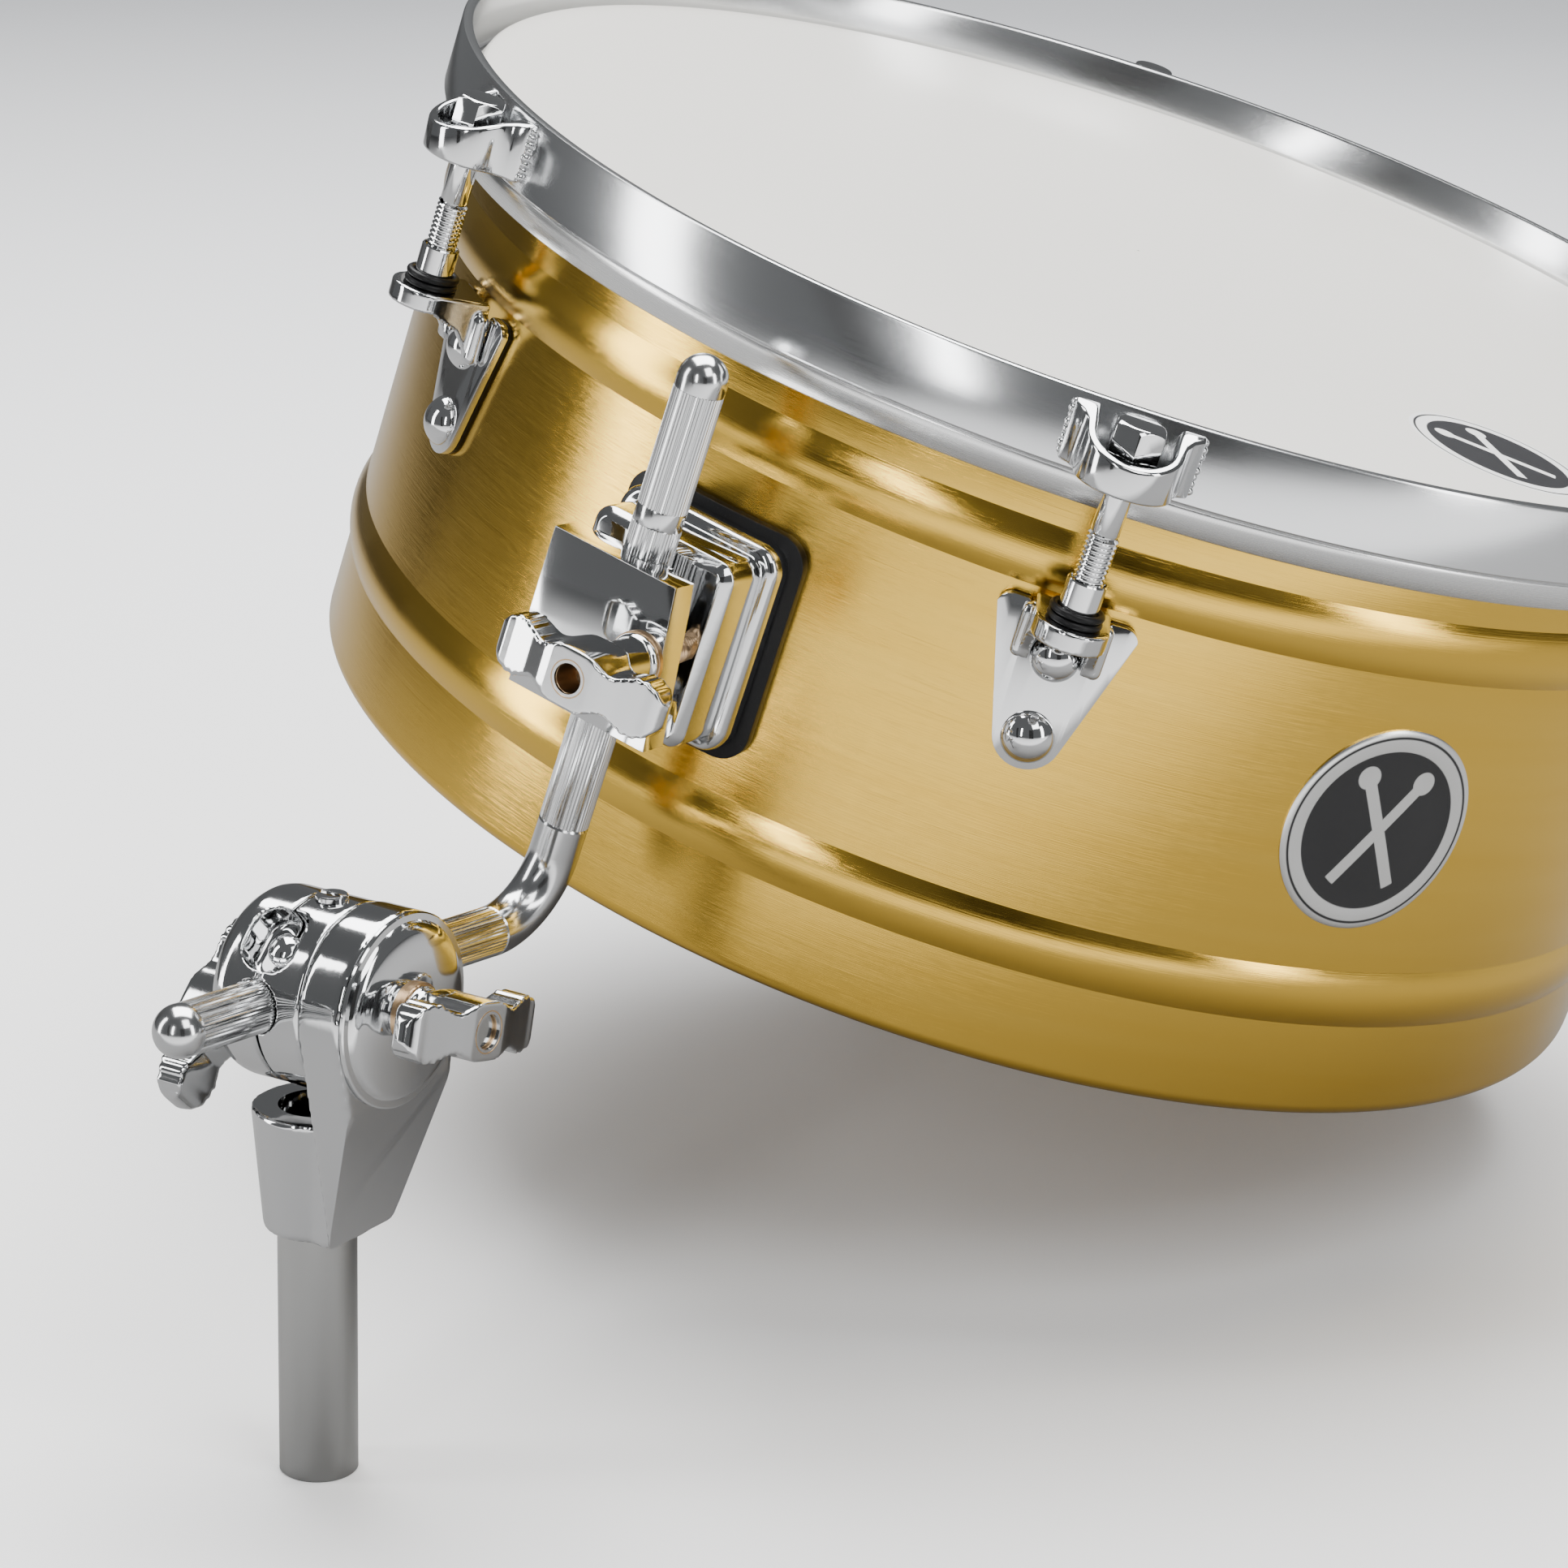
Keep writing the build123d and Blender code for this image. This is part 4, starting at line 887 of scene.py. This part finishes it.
tier = prism("base_tier", rounded_square(48, 56, 7), 188.8, 197.4)
soften(tier, 2.2, 2, 50)
top_tier = prism("top_tier", rounded_square(42, 50, 5), 196.0, 213.0)
soften(top_tier, 2.4, 1, 50)
apex = 218.0 - 6.4 * math.sqrt(2)
wedge = [(0, apex), (12, apex + 12), (-12, apex + 12)]
groove = prism("groove", wedge, -40, 40)
groove.data.transform(make_frame((0, 0, 0), (0, -1, 0), (1, 0, 0)))
cut(top_tier, groove)
cut(top_tier, block((-25, -7.5, 204.5), (-17.5, 7.5, 214)))
cut(top_tier, block((15, -25.5, 205.0), (17.5, 25.5, 206.0)))
soften(top_tier, 0.35, 2, 30)
base = join("mount_base_cast", [tier, top_tier])
hand_over(seat(base, BRACKET), "drum", cast_chrome, "mount_base")

slab = [(-20, 20.75), (16.5, 20.75), (21.5, -20.75), (-20, -20.75)]
clamp = prism("clamp_slab", slab, 218.8, 230.0)
cut(clamp, rod((0, -40, 218.0), (0, 40, 218.0), 6.42, 96))
cut(clamp, block((-30, -30, 217), (-14.5, 30, 220.6)))
cut(clamp, block((8.5, -30, 217), (30, 30, 221.2)))
soften(clamp, 0.7, 3, 30)
hand_over(seat(clamp, BRACKET), "clamp", chrome, "clamp_plate")

stud_core = rod((12.6, 0, 204), (12.6, 0, 243), 3.0, 40)
coil = thread("stud_thread", 2.95, 3.48, 1.25, 30, 205)
coil.data.transform(Matrix.Translation((12.6, 0, 0)))
stud = join("clamp_stud_threaded", [soften(stud_core), coil])
hand_over(seat(stud, BRACKET), "drum", raw_brass, "clamp_stud")

# %% [markdown]
# ## Wing nuts
# The three nuts are the same casting at different sizes. Seen from the side its wings are swept
# back; their height swells at the tips, where fine flutes give the fingers a grip.


# %%
def wing_nut(name, reach, half_span, half_height, stem, bore, bolt_end):
    side = [(0, reach), (6.0, reach), (8.5, reach - 0.5), (13.0, reach - 1.8)]
    side += [(half_span - 5, reach - 3.2)]
    side += arc(half_span - 3.8, reach - 6.9, 3.7, 75, -75, 10)
    side += [(half_span - 6, reach - 10.4), (12.0, reach - 11.0), (8.6, reach - 12.4)]
    side += [(stem * 0.9, reach - 15.0), (0, reach - 15.2)]
    whole = side + [(-x, z) for x, z in side[::-1] if x > 0]
    wings = prism("wings", whole, -half_height, half_height)
    wings.data.transform(make_frame((0, 0, 0), (0, -1, 0), (1, 0, 0)))
    cuts = [0.8 * step for step in range(-int(half_span / 0.8), int(half_span / 0.8) + 1)]
    strips(wings, cuts)
    for vertex in wings.data.vertices:
        x, y, z = vertex.co
        away = abs(x) / half_span
        swell = 1.0 - 0.34 * math.exp(-(((away - 0.42) / 0.17) ** 2)) - 0.18 * max(0, away - 0.8)
        if 0.58 < away < 0.97:
            swell += 0.045 * math.cos(2 * math.pi * abs(x) / 2.7)
        if away > 0.68:
            swell *= math.sqrt(max(0.06, 1.0 - ((away - 0.68) / 0.335) ** 2))
        vertex.co.y = y * swell
    hub = ring_walk(
        "hub",
        [(stem + 0.9, 0), (stem + 0.9, 1.0), (stem, 1.8), (stem, reach * 0.5), (stem + 0.8, reach - 6)],
        64,
    )
    nut = cast(name, [wings, hub], 0.42, 4)
    cut(nut, rod((0, 0, -5), (0, 0, reach + 5), bore, 64))
    ring = [(bore - 0.05, reach - 9), (bore - 0.05, reach - 0.9), (bore + 0.7, reach + 0.05)]
    ring += [(bore + 1.0, reach + 0.05), (bore + 0.9, reach - 1.5), (bore + 0.9, reach - 9)]
    lining = soften(ring_walk(name + "_lining", ring + [ring[0]], 64, closed=True), angle=30)
    pick(nut)
    bpy.ops.object.shade_smooth_by_angle(angle=math.radians(50))
    nut.data.materials.append(cast_chrome)
    lining.data.materials.append(raw_brass)
    return join(name, [nut, lining])


def hand_over_nut(nut, where, body, node):
    seat(nut, where)
    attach(nut, body)
    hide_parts(node)
    print(nut.name, "on", body, "faces", len(nut.data.polygons))


CLAMP_SEAT = BRACKET @ Matrix.Translation((12.6, 0, 231.25))
hand_over_nut(wing_nut("clamp_wing", 29.0, 24.5, 7.5, 6.0, 3.75, 0), CLAMP_SEAT, "clamp_nut", "clamp_wing_nut")
hand_over_nut(
    wing_nut("tilter_wing", 19.75, 25.0, 7.0, 6.0, 4.15, 0),
    TILTER @ Matrix.Translation((0, 0, 30.25)) @ Matrix.Rotation(math.radians(-13), 4, "Z"),
    "tilter_nut",
    "tilter_wing_nut",
)
REAR_SEAT = make_frame(hinge - Vector((17.45, 0, 12.5)), (-1, 0, 0), (0, -1, 0))
hand_over_nut(
    wing_nut("rear_wing", 18.55, 25.0, 7.0, 5.5, 3.65, 0),
    REAR_SEAT @ Matrix.Rotation(math.radians(-47), 4, "Z"),
    "rear_nut",
    "rear_wing_nut",
)

# %% [markdown]
# ## The L-shaped rod
# The bend is spun from a circle. The arms are turned, and the knurled lengths are star-shaped
# sleeves with straight ridges. A plain band interrupts the upper knurling.


# %%
def knurl(name, low, high, ridges=46, crest=6.38, valley=6.02):
    sleeve = ring_walk(name, [(crest, low), (crest, high)], 2 * ridges, capped=False)
    for index, vertex in enumerate(sleeve.data.vertices):
        x, y, z = vertex.co
        if round(math.atan2(y, x) / math.pi * ridges) % 2:
            vertex.co = (x * valley / crest, y * valley / crest, z)
    pick(sleeve)
    bpy.ops.object.mode_set(mode="EDIT")
    bpy.ops.mesh.select_all(action="SELECT")
    bpy.ops.mesh.fill_holes(sides=0)
    bpy.ops.object.mode_set(mode="OBJECT")
    return soften(sleeve, 0.1, 1, 20)


def turned(name, profile):
    return soften(ring_walk(name, profile, 96), angle=30)


UPPER = make_frame(corner, arm_up, arm_out)
LOWER = make_frame(corner, arm_out, arm_up)
top = ROD_RISE
upper_parts = [
    knurl("knurl_a", 27.4, 108.6),
    knurl("knurl_b", 113.2, top - 9.0),
    turned("plain", [(6.35, 18.9), (6.35, 26.8), (5.9, 27.5), (5.9, top - 9.5)]),
    turned("band", [(6.1, 108.4), (6.25, 109.0), (6.25, 112.8), (6.1, 113.4)]),
    turned(
        "tip",
        [(5.9, top - 9.6), (6.3, top - 9.0), (6.35, top - 8.0)]
        + [(max(0.2, r), z) for r, z in arc(0, top - 6.35, 6.35, 0, 90, 16)],
    ),
]
upper_arm = seat(join("upper_arm", upper_parts), UPPER)
tail = ROD_REACH + ROD_TAIL
lower_parts = [
    knurl("knurl_c", 19.6, tail - 7.6),
    turned("plain_b", [(6.35, 18.9), (6.35, 19.2), (5.9, 19.9), (5.9, tail - 8.5)]),
    turned(
        "tip_b",
        [(5.9, tail - 8.2), (6.3, tail - 7.7), (6.35, tail - 7.0)]
        + [(max(0.2, r), z) for r, z in arc(0, tail - 6.35, 6.35, 0, 90, 16)],
    ),
]
lower_arm = seat(join("lower_arm", lower_parts), LOWER)

bpy.ops.object.select_all(action="DESELECT")
bpy.ops.mesh.primitive_circle_add(
    vertices=96, radius=6.35, location=(19, 0, 0), rotation=(0, math.pi / 2, 0)
)
elbow = bpy.context.object
bpy.ops.object.transform_apply(location=True, rotation=True, scale=True)
bpy.ops.object.mode_set(mode="EDIT")
bpy.ops.mesh.select_all(action="SELECT")
bpy.ops.mesh.spin(steps=32, angle=math.pi / 2, center=(19, 19, 0), axis=(0, 0, 1))
bpy.ops.mesh.select_all(action="SELECT")
bpy.ops.mesh.normals_make_consistent(inside=False)
bpy.ops.object.mode_set(mode="OBJECT")
for vertex in elbow.data.vertices:
    ring = math.hypot(vertex.co.x - 19, vertex.co.y - 19)
    flat = 19 + 5.75
    diagonal = abs(math.atan2(19 - vertex.co.y, 19 - vertex.co.x) - math.pi / 4)
    if ring > flat and diagonal < 0.3:
        pull = (flat + 0.25 * (ring - flat)) / ring
        vertex.co.x = 19 + (vertex.co.x - 19) * pull
        vertex.co.y = 19 + (vertex.co.y - 19) * pull
soften(elbow, angle=50)
seat(elbow, make_frame(corner, arm_out.cross(arm_up), arm_out))
rod_piece = join("l_rod_knurled", [upper_arm, lower_arm, elbow])
hand_over(rod_piece, "rod", rod_chrome, "l_rod")

# %% [markdown]
# ## Tilter head
# The head is two jaws round the rod. The inner jaw carries the ratchet, and the outer jaw is a
# domed cap. A pocket across both holds the keeper's round head, and a slotted screw stands on top.

# %%
ROD_WAY = make_frame((0, 0, 0), (-math.sin(ARM_RISE), math.cos(ARM_RISE), 0), (0, 0, 1))


def across_hinge(direction):
    """A frame at the hinge, in the tilter's own axes, whose z is a direction in the shared frame."""
    return TILTER.inverted() @ make_frame(hinge, direction, (1, 0, 0))


POCKET_TURN = math.radians(48)
pocket_out = Vector((0, -math.cos(POCKET_TURN), math.sin(POCKET_TURN)))


def cutter(low, high, radius, direction, shape=None):
    if shape:
        tool = prism("tool", shape, low, high)
        soften(tool, 1.6, 3, 60)
    else:
        tool = rod((0, 0, low), (0, 0, high), radius, 96)
    tool.data.transform(across_hinge(direction))
    return tool


def hollow(obj, ring_side=False):
    cut(obj, cutter(-40, 40, 6.42, arm_out))
    cut(obj, cutter(14.9, 40, 0, pocket_out, rounded_square(14.6, 16.6, 5.6)))
    melted = cast(obj.name, [obj], 0.42, 3)
    return melted


jaw_profile = [(0.3, 0.4), (22.6, 0.4), (23.0, 0.8), (23.0, 12.2), (22.4, 12.8), (18.1, 12.8)]
jaw_profile += [(18.1, 9.95), (7.1, 9.95), (7.1, 7.0), (0.3, 7.0)]
jaw = hollow(ring_walk("jaw", jaw_profile, 160))
hand_over(seat(jaw, TILTER), "tilter_head", cast_chrome, "tilter_body")

cap_profile = [(0.3, -0.4), (22.5, -0.4), (22.9, -0.8), (23.0, -9.5)]
cap_profile += [(22.6, -11.6), (21.4, -13.4), (19.4, -14.8), (16.5, -15.7), (12.5, -16.0), (0.3, -16.0)]
cap = hollow(ring_walk("cap", cap_profile, 160))
hand_over(seat(cap, TILTER), "rod_clamp", cast_chrome, "tilter_cap")

button_profile = [(4.2, 15.4), (4.2, 16.6)] + [(4.2 * math.cos(t), 16.6 + 2.9 * math.sin(t)) for t in (
    0.15, 0.3, 0.45, 0.6, 0.75, 0.9, 1.05, 1.2, 1.35, 1.5)]
button = turned("keeper_dome", button_profile)
button.data.transform(across_hinge(pocket_out))
hand_over(seat(button, TILTER), "tilter_head", chrome, "keeper_button")

slotted = turned("slotted_stud", [(3.4, 16.0), (3.4, 22.9), (3.9, 23.0), (3.9, 23.9), (3.6, 24.2), (0.3, 24.2)])
cut(slotted, block((-5, -0.75, 23.3), (5, 0.75, 26)))
soften(slotted, 0.15, 2, 35)
slotted.data.transform(Matrix.Translation((5, 0, 0)))
slotted.data.transform(Matrix.Translation(hinge))
hand_over(seat(slotted, Matrix.Identity(4)), "tilter_head", chrome, "set_screw")

# %% [markdown]
# ## Post and cover
# The post's cheek runs down into a socket. Its blocks are melted into one casting, and then the
# bores are cut cleanly. The cover is a turned cap with one step.

# %%
cheek = turned("cheek", [(23.4, 13.2), (23.4, 24.8)])
cheek.data.transform(TILTER)
slope = [(23.0, 119.0), (12.4, 63.5), (-12.4, 63.5), (-23.0, 119.0)]
web = prism("web", slope, 13.2, 24.8)
web.data.transform(make_frame((0, 0, 0), (1, 0, 0), (0, 1, 0)))
socket = ring_walk("socket", [(12.5, 63.5), (12.8, 64.5), (15.4, 94.0)], 96)
filler = prism("filler", [(0, 12.0), (0, -12.0), (16, -13.5), (16, 13.5)], 63.5, 94.0)
for vertex in filler.data.vertices:
    if vertex.co.z < 66:
        vertex.co.x *= 0.75
        vertex.co.y *= 0.85
post = cast("post", [cheek, web, socket, filler], 0.7, 7)
trim = prism("trim", [(25.4, 104), (12.6, 62.5), (60, 62.5), (60, 104)], -40, 40)
trim.data.transform(make_frame((0, 0, 0), (0, -1, 0), (1, 0, 0)))
cut(post, trim)
cut(post, block((24.8, -40, 50), (40, 40, 160)))
head_room = rod((-40, 0, TILTER_HEIGHT), (13.2, 0, TILTER_HEIGHT), 24.5, 160)
cut(post, head_room)
cut(post, rod((0, 0, 50), (0, 0, 120), 9.05, 96))
cut(post, rod((10, 0, TILTER_HEIGHT), (30, 0, TILTER_HEIGHT), 4.1, 64))
cut(post, rod((10, 0, TILTER_HEIGHT), (16.2, 0, TILTER_HEIGHT), 18.1, 96))
soften(post, 0.0, 0, 30)
hand_over(seat(post, Matrix.Identity(4)), "stand", cast_chrome, "tilter_post")

cover_profile = [(4.1, 24.8), (22.9, 24.8), (23.3, 25.1), (23.3, 25.7), (22.9, 26.0), (21.4, 26.1)]
cover_profile += [(21.0, 26.6), (20.4, 27.2), (18.5, 27.8), (15.5, 28.3), (11.5, 28.65), (8.0, 28.8)]
cover_profile += [(4.1, 28.8)]
cover = turned("cover_disc", cover_profile + [cover_profile[0]])
hand_over(seat(cover, TILTER), "stand", chrome, "ratchet_cover")

# %% [markdown]
# The tube has a plain wall, a reduced upper end and a small chamfer at its cut lower end.

# %%
tube_profile = [(8.2, 0), (9.3, 0), (9.525, 0.25), (9.525, 62.6), (9.0, 63.0), (9.0, 86), (8.1, 86)]
tube = turned("tube_wall", tube_profile + [(8.1, 0.2), tube_profile[0]])
hand_over(seat(tube, Matrix.Identity(4)), "stand", tube_chrome, "stand_tube")

# %% [markdown]
# ## Small fittings
# The remaining solids are simple and partly hidden, so they keep their own mesh and only get a
# finish.

# %%
finishes = {
    zinc: ["lug_washers", "lug_nuts", "tension_washers", "backing_plate", "mount_screws"],
    raw_brass: ["brass_washer", "rear_washer", "clamp_washer"],
    dark_steel: ["moving_ratchet_ring", "fixed_ratchet_ring", "ratchet_spring"],
    tube_chrome: ["tilter_bolt", "jaw_bolt", "tube_pin"],
}
for material, names in finishes.items():
    for name in names:
        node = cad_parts[name]
        node.data.materials.clear()
        node.data.materials.append(material)
        for polygon in node.data.polygons:
            polygon.material_index = 0
print("finishes on", sum(len(names) for names in finishes.values()), "solids")

# %% [markdown]
# ## Floor, light and camera
# The floor is a plain pale sheet with painted shade that turns it a little greyer far away, in
# place of light falling off. For light that bounces off it, the sheet is painted darker, and
# darkest round the stand, a painted reflection so that the metal mirrors a darker table. Large soft
# lights stand left and right, and dark cards between them give the metal something to contrast with.

# %%
look = Vector((-0.50609, 0.80836, -0.30071))
camera_right = Vector((0.84312, 0.53714, 0.02497))
bpy.ops.mesh.primitive_plane_add(size=16, location=(0, 0, 0))
floor = bpy.context.object
floor.name = "floor"
paper, tree, shader, coords = start_material("Floor paper", (0.9, 0.9, 0.9), 0.9)
# Painted shade: the pale floor is mixed towards grey the further it lies beyond the stand, in place of light
# falling off.
far = vector_node(tree, "DOT_PRODUCT", coords, Vector((look.x, look.y, 0)).normalized())
painted_falloff = span(tree, math_node(tree, "DIVIDE", far, 2.6), 0.0, 1.0)
shade = mix_colours(tree, painted_falloff, (0.97, 0.97, 0.97, 1), (0.52, 0.53, 0.55, 1))
# Painted reflection: every ray but the camera's sees the floor dark grey round the stand and lighter grey in
# front, so the metal mirrors a darker table.
seen = tree.nodes.new("ShaderNodeLightPath").outputs["Is Camera Ray"]
painted_reflection_mask = math_node(tree, "SUBTRACT", math_node(tree, "MULTIPLY", far, -1.0), 0.17)
painted_reflection_mask = math_node(tree, "DIVIDE", painted_reflection_mask, 0.09, True)
painted_reflection_grey = mix_colours(tree, painted_reflection_mask, (0.24, 0.24, 0.24, 1), (0.75, 0.75, 0.75, 1))
shade = mix_colours(tree, seen, painted_reflection_grey, shade)
tree.links.new(shade, shader.inputs["Base Color"])
floor.data.materials.append(paper)


def glow(name, place, aim, size, power, colour=(1, 1, 1)):
    bpy.ops.object.light_add(type="AREA", location=place)
    lamp = bpy.context.object
    lamp.name = name
    lamp.rotation_euler = (Vector(aim) - Vector(place)).to_track_quat("-Z", "Y").to_euler()
    lamp.data.shape = "RECTANGLE"
    lamp.data.size, lamp.data.size_y = size
    lamp.data.energy = power
    lamp.data.color = colour


def card(name, place, aim, size, level):
    bpy.ops.mesh.primitive_plane_add(size=1, location=place)
    sheet = bpy.context.object
    sheet.name = name
    facing = Vector(aim) - Vector(place)
    sheet.rotation_euler = make_frame((0, 0, 0), facing, camera_right).to_euler()
    sheet.scale = (*size, 1)
    surface, _, shader, _ = start_material(name + " paint", (level, level, level), 0.9)
    sheet.data.materials.append(surface)
    sheet.visible_camera = False


middle = (0.04, 0.25, 0.2)
glow("over_floor", (-0.3, 1.0, 2.1), (-0.2, 1.1, 0), (2.2, 2.2), 170)
glow("key", (1.1, -0.3, 1.3), middle, (0.7, 0.9), 12)
glow("left_window", (-1.2, -0.9, 0.7), middle, (0.35, 1.5), 14)
glow("right_window", (1.8, 0.1, 0.6), middle, (0.35, 1.2), 10)
glow("front_strip", (0.25, -1.7, 0.75), middle, (0.16, 1.0), 7)
card("dark_left", (-0.25, -1.5, 0.45), (0.0, 0.1, 0.2), (0.22, 1.3), 0.01)
card("dark_right", (1.25, -1.1, 0.4), (0.05, 0.2, 0.2), (0.5, 1.2), 0.01)
card("dark_side", (-1.5, 0.3, 0.4), (0.0, 0.2, 0.2), (0.5, 0.7), 0.05)
world = bpy.data.worlds.new("studio")
bpy.context.scene.world = world
world.use_nodes = True
world.node_tree.nodes["Background"].inputs["Color"].default_value = (0.86, 0.88, 0.9, 1)
world.node_tree.nodes["Background"].inputs["Strength"].default_value = 0.16
print("lights set")

# %%
bpy.ops.object.camera_add(location=(0.6122, -0.7741, 0.4851))
camera = bpy.context.object
camera.rotation_euler = make_frame((0, 0, 0), -look, camera_right).to_euler()
camera.data.sensor_width = 36
camera.data.lens = 102.66
camera.data.clip_start = 0.01
bpy.context.scene.camera = camera
print("camera at", tuple(camera.location))
